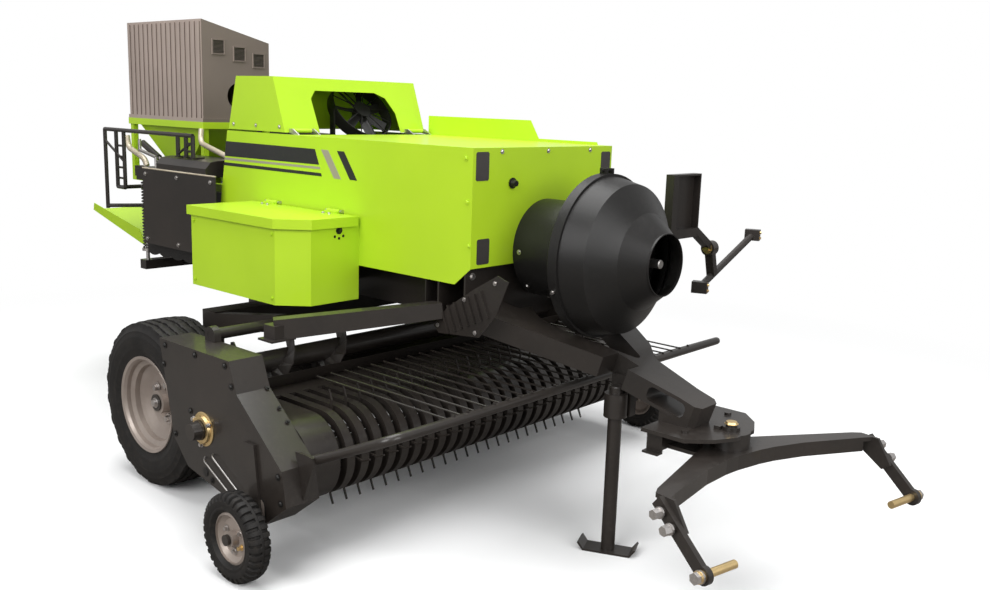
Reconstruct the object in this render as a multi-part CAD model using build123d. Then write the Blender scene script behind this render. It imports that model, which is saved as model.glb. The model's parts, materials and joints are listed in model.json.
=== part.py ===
# Square baler: a towed machine with a pickup reel, a bale chamber on a portal axle, a drawbar with a
# swinging two-armed hitch, twine boxes, a knotter hood with a cooling fan, a dust bin and a bale chute.
# Millimetres. +X is forwards to the tractor, +Y is the machine's left, +Z is up, z = 0 is the ground.
# Every x below is counted from the middle of the portal beam. The stored model is moved by AXLE_X, so that its origin
# is the middle of its outline on the ground.
from build123d import *
import os
from math import cos, hypot, pi, radians, sin

os.makedirs("parts", exist_ok=True)

# Clearances
SEAT_GAP = 0.3        # between curved faces that seat on each other
RUN_GAP = 0.05        # radial, shaft in its bore
SHEET_GAP = 5.0       # between a moving sheet and a fixed one
SHEET = 3.0           # thickness of the body sheets

# Running gear
TYRE_R = 366.0
TYRE_W = 256.0
TRACK_HALF = 928.0    # centre plane of each wheel
WHEEL_X = -26.0       # the spindles trail the beam a little
RIM_R = 205.0
RIM_SHARE = 0.42      # half width of the rim as a share of the tyre width
SPINDLE_R = 25.0
BEAM = 100.0          # portal axle, square tube
BEAM_TOP = 750.0
LEG_W = 90.0
LEG_T = 50.0
LEG_Y = 690.0         # inner face of the drop legs

# Body
BODY_HALF = 440.0
BODY_FRONT = 1326.0
BODY_TOP = 1540.0
SKIRT_Z = 1016.0      # lower edge of the side panels
NOSE_Z = 1085.0       # lower edge of the front panel
NOSE_RUN = 82.0       # length of the panels' slanted corner under it
PANEL_REAR_TOP = -284.0
PANEL_REAR_LOW = -385.0
FLANGE = 22.0
SHOULDER_Z = 1634.0   # raised edge of the left panel
SHOULDER_REAR = 185.0
SHOULDER_FRONT = 861.0
SHOULDER_RUN = 52.0
SHOULDER_LIP = 12.0
DECK_REAR = 205.0

# Bale chamber
BALE_W = 460.0
BALE_H = 360.0
PLATE = 6.0
CHAMBER_Z = 830.0
CHAMBER_FRONT = 1150.0
CHAMBER_REAR = -1400.0
BULKHEADS = (-250.0, 420.0, 1080.0)
BULKHEAD_LOW = 900.0
BULKHEAD_DROP = 110.0  # body top to the plates' tops

# Hood over the knotters
HOOD_TOP = 1794.0
HOOD_LOW = 1548.0
HOOD_REAR_TOP = -215.0
HOOD_FRONT_TOP = 72.0
HOOD_FRONT_LOW = 160.0
HINGE_R = 6.0
HINGE_WALL = 4.0
HOOD_HINGE_X = 176.0
HOOD_HINGE_Z = 1556.0
WINDOW_LEFT = 270.0
WINDOW_RIGHT = 235.0
WINDOW_DROP = 57.0     # hood top to the window

# Fan
FAN_X = 25.0
FAN_Y = 115.0
FAN_Z = 1640.0
FAN_R = 165.0
FAN_TILT = 40.0
FAN_HUB_R = 45.0
FAN_PIN_R = 8.0
FAN_BLADES = 7
FAN_SPOKES = 12

# Twine boxes
BOX_DEPTH = 350.0
BOX_OUT = BODY_HALF + BOX_DEPTH
BOX_REAR = -40.0
BOX_FRONT = 680.0
BOX_CHAMFER_X = 105.0
BOX_CHAMFER_Y = 100.0
BOX_LOW = 872.0
BOX_TOP = 1222.0
LID_OVER = 14.0
LID_RIM = 40.0
LID_GAP = 14.0         # hinge line to the body
LID_HINGE_Y = BODY_HALF + LID_GAP
LID_HINGE_Z = BOX_TOP + 12.0
LID_PIN_R = 4.0
LID_BARREL_R = 8.0

# Flywheel, its shield and the input shaft
SHAFT_Z = 1134.0
SHAFT_R = 25.0
STUB_R = 17.45
STUB_LEN = 195.0
NECK_R = 198.0
DRUM_BACK = 1592.0
DRUM_R = 310.0        # behind, it tapers to the front
DRUM_TIP_R = 288.0
BAND_R = 320.0
BAND_W = 50.0
DRUM_FRONT = 1742.0
CONE_FRONT = 1818.0
CONE_R = 186.0
MOUTH_R = 119.0
MOUTH_FRONT = 1908.0
SHIELD_WALL = 4.0
FLYWHEEL_R = 262.0
FLYWHEEL_W = 70.0

# Drawbar
BAR_TILT = 18.0       # slope down to the hitch
BAR_TOP_REAR = 930.0  # height of its top face at BAR_REAR
BAR_REAR = 1300.0
FRAME_LOW = 855.0     # cross beam behind it
FRAME_GAP = 5.0       # cross beam to the front panel
FRAME_WALL = 8.0
BAR_T = 85.0
BAR_HALF_REAR = 425.0
BAR_HALF_ROOT = 104.0
BAR_HALF_MEET = 160.0
BAR_HALF_NOSE = 72.0
NOSE_Y = -35.0        # the nose lies a little right of the centre
BAR_MEET = 484.0      # along the slope, where the beams end
BAR_ROOT = 572.0      # where the nose begins
BAR_LEN = 895.0
NOTCH_Y = 62.0        # floor of the notch for the jack
NOTCH_LEAD = 16.0     # its front face, ahead of the nose's root

# Hitch
BOLT_X = 2225.0
BOLT_R = 20.0
YOKE_TOP = 516.0
HITCH_TOP = 575.0     # top of the upper hitch plate, under the drawbar nose
HITCH_T = 14.0
HITCH_REAR = 1985.0
HITCH_FRONT = 2285.0
HITCH_HALF = 222.0
YOKE_T = 16.0
YOKE_YAW = -11.5
YOKE_HALF = 555.0
ARM_REAR = 172.0      # bolt to the arms' ends, rear and front edge
ARM_FRONT = 232.0
YOKE_NECK = 92.0      # bolt to the front edge between the arms
FLANGE_T = 8.0
FLANGE_DROP = 54.0
EYE_REACH = 398.0
EYE_Z = 332.0
LINK_T = 20.0
PIN_R = 14.0
PIN_LEN = 130.0

# Jack
JACK_X = 1796.0
JACK_Y = -112.0
JACK_R = 27.0
JACK_TOP = 668.0
CLAMP_LOW = 548.0
CLAMP_TOP = 640.0
CLAMP_WALL = 18.0
CLAMP_PLATE_TOP = 704.0

# Pickup
PICK_IN = 1030.0      # inner face of the side housings
PICK_OUT = 1175.0
REEL_X = 950.0
REEL_Z = 370.0
TIP_R = 233.0
BAND_RADIUS = 165.0   # outside of the stripper bands
BAND_T = 4.0
BAND_BACK = 665.0
BANDS = 25
BAND_PITCH = 70.0
BAND_WIDTH = 38.0
TINE_BARS = 4
TINE_BAR_R = 110.0
LIFT_X = 520.0
LIFT_Z = 780.0
LIFT_PIN_R = 15.0
BEARING_X = 650.0      # drive bearing on the housings' outer faces
BEARING_Z = 455.0
AUGER_X = 500.0
AUGER_Z = 620.0
AUGER_R = 110.0
AUGER_TUBE_R = 45.0
TROUGH_GAP = 10.0

# Windguard
GUARD_X = 1195.0
GUARD_Z = 450.0
GUARD_PIPE_X = 1575.0
GUARD_PIPE_Z = 620.0
GUARD_HALF = 1070.0
GUARD_PIPE_R = 17.5
GUARD_ROD_R = 4.0
GUARD_ROD_REAR = 820.0

# Gauge wheels
GAUGE_X = 1004.0
GAUGE_Y = 1272.0
GAUGE_R = 165.0
GAUGE_W = 84.0
GAUGE_RIM_R = 95.0
GAUGE_AXLE_R = 12.0

# Rear of the machine
SHIELD_Y = 500.0
TENSION_X = -1110.0
TENSION_Y = 416.0
TENSION_TOP = 1245.0
SPRING_FOOT = 62.0    # lower beam to the spring
SHIELD_REAR = -985.0
SHIELD_FRONT = -300.0
SHIELD_LOW = 926.0
SHIELD_TOP = 1318.0
COVER_REAR = -860.0
COVER_FRONT = -400.0
COVER_H = 70.0
TENSION_LOW = 812.0
SPRING_R = 25.0
RAIL_Y = 446.0
RAIL_TOP = 1500.0
RAIL_R = 11.0
RAIL_POST_LOW = 1060.0
LADDER_REAR = -1355.0
LADDER_W = 83.0
BIN_HALF = 210.0
BIN_FRONT = -860.0
BIN_REAR = -1632.0
BIN_LOW = 1580.0
BIN_TOP = 2092.0
BIN_FALL = 100.0      # the roof falls to the left
BIN_LEDGE = 20.0      # the ledge round the bin's foot
BIN_BAND = 35.0       # the frame band under it
VENT_SIDE = 80.0
VENT_DROP = 64.0      # from the roof to the vents under it
BIN_LEG = 30.0
SPOUT_X = -1290.0
SPOUT_HALF = 100.0
SPOUT_TOP = 1300.0
RAIL_REAR = -1480.0
RAIL_FRONT = -580.0
RAIL_LOW = 1190.0
CHUTE_X = -1416.0
CHUTE_Z = 838.0
CHUTE_LEN = 635.0
CHUTE_RISE = 14.0
CHUTE_HALF = 262.0

# The stored origin lies midway between the far hitch eye and the end of the chute.
EYE_R = 30.0
FRONT_REACH = (BOLT_X + EYE_REACH * cos(radians(YOKE_YAW)) - YOKE_HALF * sin(radians(YOKE_YAW)) + EYE_R)
REAR_REACH = CHUTE_X - CHUTE_LEN * cos(radians(CHUTE_RISE))
AXLE_X = -(FRONT_REACH + REAR_REACH) / 2


def block(x0, x1, y0, y1, z0, z1):
    """A box between two corners."""
    centre = Pos((x0 + x1) / 2, (y0 + y1) / 2, (z0 + z1) / 2)
    return centre * Box(abs(x1 - x0), abs(y1 - y0), abs(z1 - z0))


def side_plate(points, y0, y1):
    """A profile drawn as x, z points, from y0 to y1."""
    plane = Plane(origin=(0, y1, 0), x_dir=(1, 0, 0), z_dir=(0, -1, 0))
    return extrude(plane * make_face(Polyline(*points, close=True)), y1 - y0)


def plan_plate(points, z0, z1):
    """A profile drawn as x, y points, from z0 up to z1."""
    return Pos(0, 0, z0) * extrude(make_face(Polyline(*points, close=True)), z1 - z0)


def front_plate(points, x0, x1):
    """A profile drawn as y, z points, from x0 forwards to x1."""
    plane = Plane(origin=(x0, 0, 0), x_dir=(0, 1, 0), z_dir=(1, 0, 0))
    return extrude(plane * make_face(Polyline(*points, close=True)), x1 - x0)


def rod(start, end, radius):
    """A round bar between two points."""
    run = Vector(*end) - Vector(*start)
    return Part() + Solid.make_cylinder(radius, run.length, Plane(origin=start, z_dir=run))


def prism(start, end, radius, sides=6):
    """A bar of few faces between two points."""
    run = Vector(*end) - Vector(*start)
    plane = Plane(origin=start, z_dir=run)
    return extrude(plane * RegularPolygon(radius, sides), run.length)


def flat_bar(start, end, width, depth, across=(0, 1, 0)):
    """A rectangular bar between two points; its width lies along across."""
    run = Vector(*end) - Vector(*start)
    plane = Plane(origin=start, x_dir=across, z_dir=run)
    return extrude(plane * Rectangle(width, depth), run.length)


def along_y(x, z, y0, y1, radius):
    """A round bar along Y."""
    return rod((x, y0, z), (x, y1, z), radius)


def mirrored(part):
    """The same piece on the machine's other side."""
    return mirror(part, about=Plane.XZ)


def turned(points):
    """A solid of revolution about Y from radius, y points."""
    return revolve(make_face(Polyline(*points, close=True)), Axis.Y, 360)


def turned_x(points):
    """A solid of revolution about X from x, radius points."""
    return revolve(make_face(Polyline(*points, close=True)), Axis.X, 360)


# Wheels
def main_tyre():
    """Implement tyre with a crowned, ribbed tread, at the origin with its axle along Y."""
    half = TYRE_W / 2
    groove = 9.0
    ribs = [(0.03, 0.16, TYRE_R), (0.20, 0.31, TYRE_R - 2), (0.34, 0.43, TYRE_R - 7)]  # edges as shares, radius
    bead = TYRE_W * RIM_SHARE - SEAT_GAP
    side = [(RIM_R + SEAT_GAP, bead), (RIM_R + 17, bead + 5), (RIM_R + 50, half - 4), (RIM_R + 82, half),
            (TYRE_R - 36, half - 6), (TYRE_R - 18, half - 14)]
    for low, high, radius in reversed(ribs):
        side += [(radius - groove, high * TYRE_W), (radius, high * TYRE_W - 3)]
        side += [(radius, low * TYRE_W + 3), (radius - groove, low * TYRE_W)]
    other = [(radius, -y) for radius, y in reversed(side)]
    return turned(side + other)


def main_rim():
    """Stepped rim with a dished disc and hub, at the origin; its outside faces -Y."""
    half = TYRE_W * RIM_SHARE
    bore = SPINDLE_R + RUN_GAP
    outside = [(bore, -62), (52, -62), (52, -18), (96, -18), (120, -26), (150, -44), (RIM_R - 38, -52),
               (RIM_R - 34, -74), (RIM_R - 14, -84), (RIM_R - 12, 6 - half), (RIM_R - 4, -half - 6)]
    flange = [(RIM_R + 8, half + 10), (RIM_R + 10, half + 5), (RIM_R, half)]
    barrel = [(r, -y) for r, y in flange] + list(reversed(flange))
    inside = [(RIM_R - 4, half + 6), (RIM_R - 12, half - 6), (RIM_R - 12, -70), (RIM_R - 24, -64),
              (RIM_R - 28, -42), (152, -32), (122, -14), (96, -6), (52, -6), (52, 60), (bore, 60)]
    rim = turned(outside + barrel + inside)
    studs = [Pos(80 * cos(a), -20, 80 * sin(a)) * Rot(90, 0, 0) * Cylinder(9, 20)
             for a in [2 * pi * i / 5 for i in range(5)]]
    return rim + studs


def gauge_tyre():
    """Small lugged tyre at the origin."""
    half = GAUGE_W / 2
    body_r = GAUGE_R - 9
    points = [(GAUGE_RIM_R + SEAT_GAP, -half * 0.6), (GAUGE_RIM_R + 18, -half), (body_r - 12, -half)]
    points += [(body_r, -half * 0.7), (body_r, half * 0.7), (body_r - 12, half), (GAUGE_RIM_R + 18, half)]
    points += [(GAUGE_RIM_R + SEAT_GAP, half * 0.6)]
    tyre = turned(points)
    lugs = []
    count = 18
    for i in range(count):
        side = -1 if i % 2 else 1
        lug = Pos(body_r - 2, side * half * 0.36, 0) * Box(22, half * 0.72, 20)
        lugs.append(Rot(0, 360 / count * i, 0) * lug)
    tyre = tyre + lugs
    return tyre & (Rot(90, 0, 0) * Cylinder(GAUGE_R, GAUGE_W))


def gauge_rim():
    half = GAUGE_W * 0.3
    bore = GAUGE_AXLE_R + RUN_GAP
    points = [(bore, -34), (28, -34), (28, -8), (70, -8), (GAUGE_RIM_R - 8, -half + 4), (GAUGE_RIM_R - 8, -half - 4),
              (GAUGE_RIM_R, -half), (GAUGE_RIM_R, half), (GAUGE_RIM_R - 8, half), (GAUGE_RIM_R - 8, -8),
              (70, 0), (28, 0), (28, 34), (bore, 34)]
    return turned(points)


# Chassis
def axle_beam():
    """Portal axle: cross tube, drop legs, spindles and the saddles under the chamber."""
    half = BEAM / 2
    leg_out = LEG_Y + LEG_T
    beam = block(-half, half, -leg_out, leg_out, BEAM_TOP - BEAM, BEAM_TOP)
    spindle_end = TRACK_HALF + 66
    for side in (-1, 1):
        y0, y1 = sorted((side * LEG_Y, side * leg_out))
        beam += block(-LEG_W / 2, LEG_W / 2, y0, y1, TYRE_R - 60, BEAM_TOP)
        beam += along_y(WHEEL_X, TYRE_R, side * leg_out, side * spindle_end, SPINDLE_R)
        beam += along_y(WHEEL_X, TYRE_R, side * leg_out, side * (TRACK_HALF - 62), SPINDLE_R + 15)
        beam += along_y(WHEEL_X, TYRE_R, side * (TRACK_HALF + 63), side * (spindle_end + 4), SPINDLE_R + 12)
        beam += block(-half, half, side * 200 - 20, side * 200 + 20, BEAM_TOP, CHAMBER_Z)
    return beam


def chamber_roof():
    """Height of the chamber's upper face."""
    return CHAMBER_Z + 2 * PLATE + BALE_H


def bale_chamber():
    """Four plates round the bale, with the twine slots in the floor and open at its rear."""
    inner = BALE_W / 2
    outer = inner + PLATE
    top = chamber_roof() - PLATE
    shell = block(CHAMBER_REAR, CHAMBER_FRONT, -outer, outer, CHAMBER_Z, top + PLATE)
    shell -= block(CHAMBER_REAR - 1, CHAMBER_FRONT - PLATE, -inner, inner, CHAMBER_Z + PLATE, top)
    for y in (-115, 115):
        shell -= block(-190, -60, y - 14, y + 14, CHAMBER_Z - 1, top + PLATE + 1)
    for z in (CHAMBER_Z + 90, CHAMBER_Z + 240):
        shell -= block(-1330, -560, -outer - 1, outer + 1, z, z + 45)
    return shell


def drawbar():
    """Box-section A-frame that slopes down to a nose, with a teardrop opening and a window in the nose."""
    over = 60.0
    half_rear = BAR_HALF_REAR + (BAR_HALF_REAR - BAR_HALF_MEET) / BAR_MEET * over
    nose = [(BAR_LEN, BAR_HALF_NOSE - 22), (BAR_LEN - 22, BAR_HALF_NOSE), (BAR_LEN - 95, BAR_HALF_NOSE),
            (BAR_ROOT, BAR_HALF_ROOT)]
    beam = [(BAR_MEET, BAR_HALF_MEET), (-over, half_rear)]
    far_side = [(u, NOSE_Y + y) for u, y in nose] + beam
    near_side = [(u, NOSE_Y - y) for u, y in nose] + [(u, -y) for u, y in beam]
    bar = plan_plate(list(reversed(near_side)) + far_side, -BAR_T, 0)
    notch_end = BAR_ROOT + NOTCH_LEAD
    bar -= plan_plate([(BAR_MEET, -NOTCH_Y), (notch_end, -NOTCH_Y), (notch_end, -400), (BAR_MEET, -400)],
                      -BAR_T - 1, 1)
    big_u, big_r, small_u, small_r = 190.0, 165.0, 520.0, 22.0
    opening = make_hull([Pos(big_u, 0) * Circle(big_r).edge(), Pos(small_u, 0) * Circle(small_r).edge()])
    bar -= Pos(0, 0, -BAR_T - 1) * extrude(opening, BAR_T + 2)
    bar -= plan_plate([(-over - 1, -250), (70, -190), (70, 190), (-over - 1, 250)], -BAR_T - 1, 1)
    window = Plane(origin=(BAR_LEN - 130, 200, -BAR_T / 2), x_dir=(1, 0, 0), z_dir=(0, -1, 0))
    bar -= extrude(window * RectangleRounded(158, BAR_T - 28, 22), 400)
    bar = Pos(BAR_REAR, 0, BAR_TOP_REAR) * Rot(0, BAR_TILT, 0) * bar
    bar &= block(BAR_REAR, BAR_REAR + 2000, -1000, 1000, 0, 2000)
    return bar - block(HITCH_REAR, HITCH_FRONT, -400, 400, 0, HITCH_TOP)


def jack_clamp():
    """Clamp ring for the jack leg and its plate on the side of the drawbar's nose."""
    out_r = JACK_R + CLAMP_WALL
    ring = Pos(JACK_X, JACK_Y, (CLAMP_LOW + CLAMP_TOP) / 2) * Cylinder(out_r, CLAMP_TOP - CLAMP_LOW)
    ring += block(JACK_X - out_r, JACK_X + out_r, JACK_Y + JACK_R + 4, -NOTCH_Y + 20, CLAMP_LOW, CLAMP_PLATE_TOP)
    ring -= rod((JACK_X, JACK_Y, 0), (JACK_X, JACK_Y, 1200), JACK_R + RUN_GAP)
    return ring


def jack_leg():
    """Round leg with a cap and a foot whose ends turn up."""
    leg = rod((JACK_X, JACK_Y, 8), (JACK_X, JACK_Y, JACK_TOP), JACK_R)
    leg = chamfer(leg.edges().group_by(Axis.Z)[-1], 4)
    foot = [(-115, 30), (-92, 0), (92, 0), (115, 30), (109, 35), (89, 8), (-89, 8), (-109, 35)]
    foot = Pos(JACK_X, JACK_Y, 0) * Rot(0, 0, 24) * side_plate(foot, -42, 42)
    return leg + foot


def front_frame():
    """Cross beam under the front of the body, which carries the drawbar, and the bulkheads behind it."""
    inside = BODY_HALF - SHEET
    low, top, wall = FRAME_LOW, NOSE_Z - FRAME_GAP, FRAME_WALL
    frame = block(CHAMBER_FRONT, BAR_REAR, -inside, inside, low, top)
    return frame - block(CHAMBER_FRONT + wall, BAR_REAR - wall, -inside - 1, inside + 1, low + wall, top - wall)


def bulkheads():
    """Plates across the body that hold the side panels to the chamber."""
    inside = BODY_HALF - SHEET
    outer = BALE_W / 2 + PLATE
    plates = Part()
    for x in BULKHEADS:
        plate = block(x, x + PLATE, -inside, inside, BULKHEAD_LOW, BODY_TOP - BULKHEAD_DROP)
        plates += plate - block(x - 1, x + PLATE + 1, -outer, outer, 0, chamber_roof())
    return plates


def gearbox():
    return block(1165, 1318, -150, 150, 1080, 1330)


# Body sheets
def side_panel_right():
    """Outer sheet with its top and bottom edges turned in."""
    outline = [(BODY_FRONT, BODY_TOP), (BODY_FRONT, NOSE_Z), (BODY_FRONT - NOSE_RUN, SKIRT_Z),
               (PANEL_REAR_LOW, SKIRT_Z), (PANEL_REAR_TOP, BODY_TOP)]
    inside = BODY_HALF - SHEET
    panel = side_plate(outline, -BODY_HALF, -inside)
    panel += block(PANEL_REAR_TOP, DECK_REAR - 5, -inside, -inside + FLANGE, BODY_TOP - SHEET, BODY_TOP)
    return panel


def side_panel_left():
    """Like the right panel, with a raised shoulder beside the hood."""
    outline = [(BODY_FRONT, BODY_TOP), (BODY_FRONT, NOSE_Z), (BODY_FRONT - NOSE_RUN, SKIRT_Z),
               (PANEL_REAR_LOW, SKIRT_Z), (PANEL_REAR_TOP, BODY_TOP), (SHOULDER_REAR, BODY_TOP),
               (SHOULDER_REAR, SHOULDER_Z), (SHOULDER_FRONT, SHOULDER_Z),
               (SHOULDER_FRONT + SHOULDER_RUN, BODY_TOP + SHOULDER_LIP),
                (BODY_FRONT - NOSE_RUN, BODY_TOP + SHOULDER_LIP), (BODY_FRONT - NOSE_RUN + 6, BODY_TOP)]
    inside = BODY_HALF - SHEET
    panel = side_plate(outline, inside, BODY_HALF)
    panel += block(PANEL_REAR_TOP, DECK_REAR - 5, inside - FLANGE, inside, BODY_TOP - SHEET, BODY_TOP)
    return panel


def front_panel():
    inside = BODY_HALF - SHEET
    panel = block(BODY_FRONT - SHEET, BODY_FRONT, -inside, inside, NOSE_Z, BODY_TOP)
    panel -= rod((BODY_FRONT - 20, 0, SHAFT_Z), (BODY_FRONT + 20, 0, SHAFT_Z), 60)
    return panel


def deck():
    inside = BODY_HALF - SHEET
    return block(DECK_REAR, BODY_FRONT - SHEET, -inside, inside, BODY_TOP - SHEET, BODY_TOP)


def hood():
    """Arched hood: two cheeks, top, sloping front with the fan window, and rear, open below."""
    low_rear = PANEL_REAR_TOP + 1
    wall = SHEET
    outer = [(low_rear, HOOD_LOW), (HOOD_REAR_TOP, HOOD_TOP), (HOOD_FRONT_TOP, HOOD_TOP), (HOOD_FRONT_LOW, HOOD_LOW)]
    inner = [(low_rear + 1.1 * wall, HOOD_LOW - 1), (HOOD_REAR_TOP + 0.9 * wall, HOOD_TOP - wall),
             (HOOD_FRONT_TOP - 0.8 * wall, HOOD_TOP - wall), (HOOD_FRONT_LOW - 1.1 * wall, HOOD_LOW - 1)]
    width = BODY_HALF - SHEET - SHEET_GAP
    shell = side_plate(outer, -width, width) - side_plate(inner, -width + wall, width - wall)
    left, right = WINDOW_LEFT, -WINDOW_RIGHT
    window_top = HOOD_TOP - WINDOW_DROP
    window = [(right, HOOD_LOW - 1), (right - 10, window_top - 37), (right + 23, window_top), (left - 120, window_top),
              (left - 55, window_top - 25), (left - 8, window_top - 97), (left, HOOD_LOW - 1)]
    shell -= front_plate(window, 20, 200) & block(60, 200, -width + 30, width - 30, HOOD_LOW - 9, HOOD_TOP - 30)
    for y0, y1 in hood_barrels():
        shell += barrel_lug(y0, y1)
    return shell


def hood_barrels():
    """Where the hood's hinge barrels lie across the body."""
    inner, outer = BODY_HALF - 140, BODY_HALF - 40
    return [(-outer, -inner), (inner, outer)]


def barrel_lug(y0, y1):
    """Hinge barrel on the hood's lower front edge."""
    wall_r = HINGE_R + HINGE_WALL
    lug = along_y(HOOD_HINGE_X, HOOD_HINGE_Z, y0, y1, wall_r)
    lug += block(HOOD_FRONT_LOW - 6, HOOD_HINGE_X, y0, y1, HOOD_HINGE_Z - 4, HOOD_HINGE_Z + 4)
    return lug - along_y(HOOD_HINGE_X, HOOD_HINGE_Z, y0 - 1, y1 + 1, HINGE_R + RUN_GAP)


def hood_hinges():
    """Hinge rods and their ears on the deck."""
    pins = Part()
    for y0, y1 in [(low - 12, high + 12) for low, high in hood_barrels()]:
        pins += along_y(HOOD_HINGE_X, HOOD_HINGE_Z, y0, y1, HINGE_R)
        for y in (y0, y1 - 8):
            ear = [(HOOD_HINGE_X - 10, HOOD_HINGE_Z - 10), (HOOD_HINGE_X - 10, HOOD_HINGE_Z + 10),
                   (HOOD_HINGE_X + 12, HOOD_HINGE_Z + 10), (DECK_REAR + 30, BODY_TOP), (DECK_REAR, BODY_TOP)]
            pins += side_plate(ear, y, y + 8)
    return pins


def fan_place():
    return Pos(FAN_X, FAN_Y, FAN_Z) * Rot(0, 90 - FAN_TILT, 0)


def fan_guard():
    """Ring with wire spokes over a centre plate, on two posts from the chamber roof."""
    ring = Cylinder(FAN_R, 60) - Cylinder(FAN_R - 4, 62)
    wires = [Rot(0, 0, 360 / FAN_SPOKES * i) * flat_bar((FAN_HUB_R - 5, 0, 27), (FAN_R - 3, 0, 27), 4, 4)
             for i in range(FAN_SPOKES)]
    plate = Pos(0, 0, 27) * Cylinder(FAN_HUB_R, 6)
    spindle = Pos(0, 0, 2) * Cylinder(FAN_PIN_R, 52)
    guard = fan_place() * (ring + wires + plate + spindle)
    roof = chamber_roof()
    for y in (FAN_Y - FAN_R - 3, FAN_Y + FAN_R + 3):
        guard += block(FAN_X - 15, FAN_X + 15, y - 5, y + 5, roof, FAN_Z + 15)
    return guard


def fan_rotor():
    """Hub and tilted blades behind the guard."""
    rotor = Pos(0, 0, 2) * Cylinder(34, 42)
    for i in range(FAN_BLADES):
        blade = Pos(86, 0, 0) * Rot(28, 0, 0) * Box(124, 46, 3)
        rotor += Rot(0, 0, 360 / FAN_BLADES * i) * blade
    rotor -= Cylinder(FAN_PIN_R + RUN_GAP, 100)
    return fan_place() * rotor


def knotters():
    """Knotter shaft with its two cam discs, between bearing stands on the chamber roof."""
    roof = chamber_roof()
    x = -130.0
    z = roof + 150
    shaft = along_y(x, z, -240, 240, 18)
    for y in (-115, 115):
        shaft += along_y(x, z, y - 12, y + 12, 95)
    for y in (-225, 210):
        shaft += block(x - 30, x + 30, y, y + 15, roof, z + 30)
    return shaft


# Twine boxes, drawn for the right side
def box_outline(grow):
    """Plan of the box, x and y points."""
    return [(BOX_REAR - grow, -BODY_HALF), (BOX_REAR - grow, -BOX_OUT - grow),
            (BOX_FRONT - BOX_CHAMFER_X + grow * 0.4, -BOX_OUT - grow),
            (BOX_FRONT + grow, -BOX_OUT + BOX_CHAMFER_Y - grow * 0.4), (BOX_FRONT + grow, -BODY_HALF)]


def twine_box():
    outside = plan_plate(box_outline(0), BOX_LOW, BOX_TOP)
    inside = plan_plate([(x, y) for x, y in box_outline(-SHEET)], BOX_LOW + SHEET, BOX_TOP + 1)
    inside = inside - block(BOX_REAR - 9, BOX_FRONT + 9, -BODY_HALF - SHEET, -BODY_HALF + 9, 0, 3000)
    return outside - inside


def lid_barrels():
    """Where each lid's two hinge barrels begin along the body, and their length."""
    return [(BOX_REAR + 90, 80), (BOX_FRONT - 190, 80)]


def twine_lid():
    """Lid with a rim round three sides, hinged beside the body."""
    grow = LID_OVER
    low = BOX_TOP + SEAT_GAP
    lid = plan_plate(box_outline(grow), low + SHEET - LID_RIM, low + SHEET)
    lid -= plan_plate(box_outline(grow - SHEET), low - LID_RIM, low)
    lid -= block(BOX_REAR - 99, BOX_FRONT + 99, -LID_HINGE_Y - 2, -BODY_HALF + 9, 0, 3000)
    for x0, length in lid_barrels():
        x1 = x0 + length
        lid += rod((x0, -LID_HINGE_Y, LID_HINGE_Z), (x1, -LID_HINGE_Y, LID_HINGE_Z), LID_BARREL_R)
        lid += block(x0, x1, -LID_HINGE_Y - 22, -LID_HINGE_Y - 2, low, LID_HINGE_Z)
        lid -= rod((x0 - 1, -LID_HINGE_Y, LID_HINGE_Z), (x1 + 1, -LID_HINGE_Y, LID_HINGE_Z),
                   LID_PIN_R + RUN_GAP)
    return lid


def lid_hinges():
    """Hinge rods and the ears that hold them to the body."""
    pins = Part()
    for x0, length in lid_barrels():
        x1 = x0 + length
        pins += rod((x0 - 12, -LID_HINGE_Y, LID_HINGE_Z), (x1 + 12, -LID_HINGE_Y, LID_HINGE_Z), LID_PIN_R)
        for x in (x0 - 12, x1 + 4):
            pins += block(x, x + 8, -LID_HINGE_Y, -BODY_HALF, LID_HINGE_Z - 6, LID_HINGE_Z + 6)
    return pins


# Flywheel shield and shaft
def flywheel_shield():
    """Neck, drum with its clamping band, cone and mouth, turned about the input shaft."""
    w = SHIELD_WALL
    back = DRUM_BACK
    outer = [(BODY_FRONT, NECK_R), (back, NECK_R), (back, BAND_R - 8), (back + 8, BAND_R),
             (back + BAND_W, BAND_R), (back + BAND_W, DRUM_R), (DRUM_FRONT, DRUM_TIP_R),
             (DRUM_FRONT + 15, DRUM_TIP_R - 20), (CONE_FRONT, CONE_R), (MOUTH_FRONT - 8, MOUTH_R),
             (MOUTH_FRONT, MOUTH_R)]
    inner = [(MOUTH_FRONT, MOUTH_R - w), (MOUTH_FRONT - 10, MOUTH_R - w), (CONE_FRONT - 4, CONE_R - w),
             (DRUM_FRONT + 12, DRUM_TIP_R - 24), (DRUM_FRONT - 3, DRUM_TIP_R - w), (back + 14, DRUM_R - w),
             (back + 14, SHAFT_R + RUN_GAP), (back, SHAFT_R + RUN_GAP), (back, NECK_R - w),
             (BODY_FRONT, NECK_R - w)]
    shield = Pos(0, 0, SHAFT_Z) * turned_x(outer + inner)
    top = SHAFT_Z + BAND_R
    for y in (-24, 14):
        shield += block(back + 10, back + BAND_W - 6, y, y + 10, top - 12, top + 20)
    shield += rod((back + 26, -34, top + 11), (back + 26, 34, top + 11), 5)
    return shield


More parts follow.
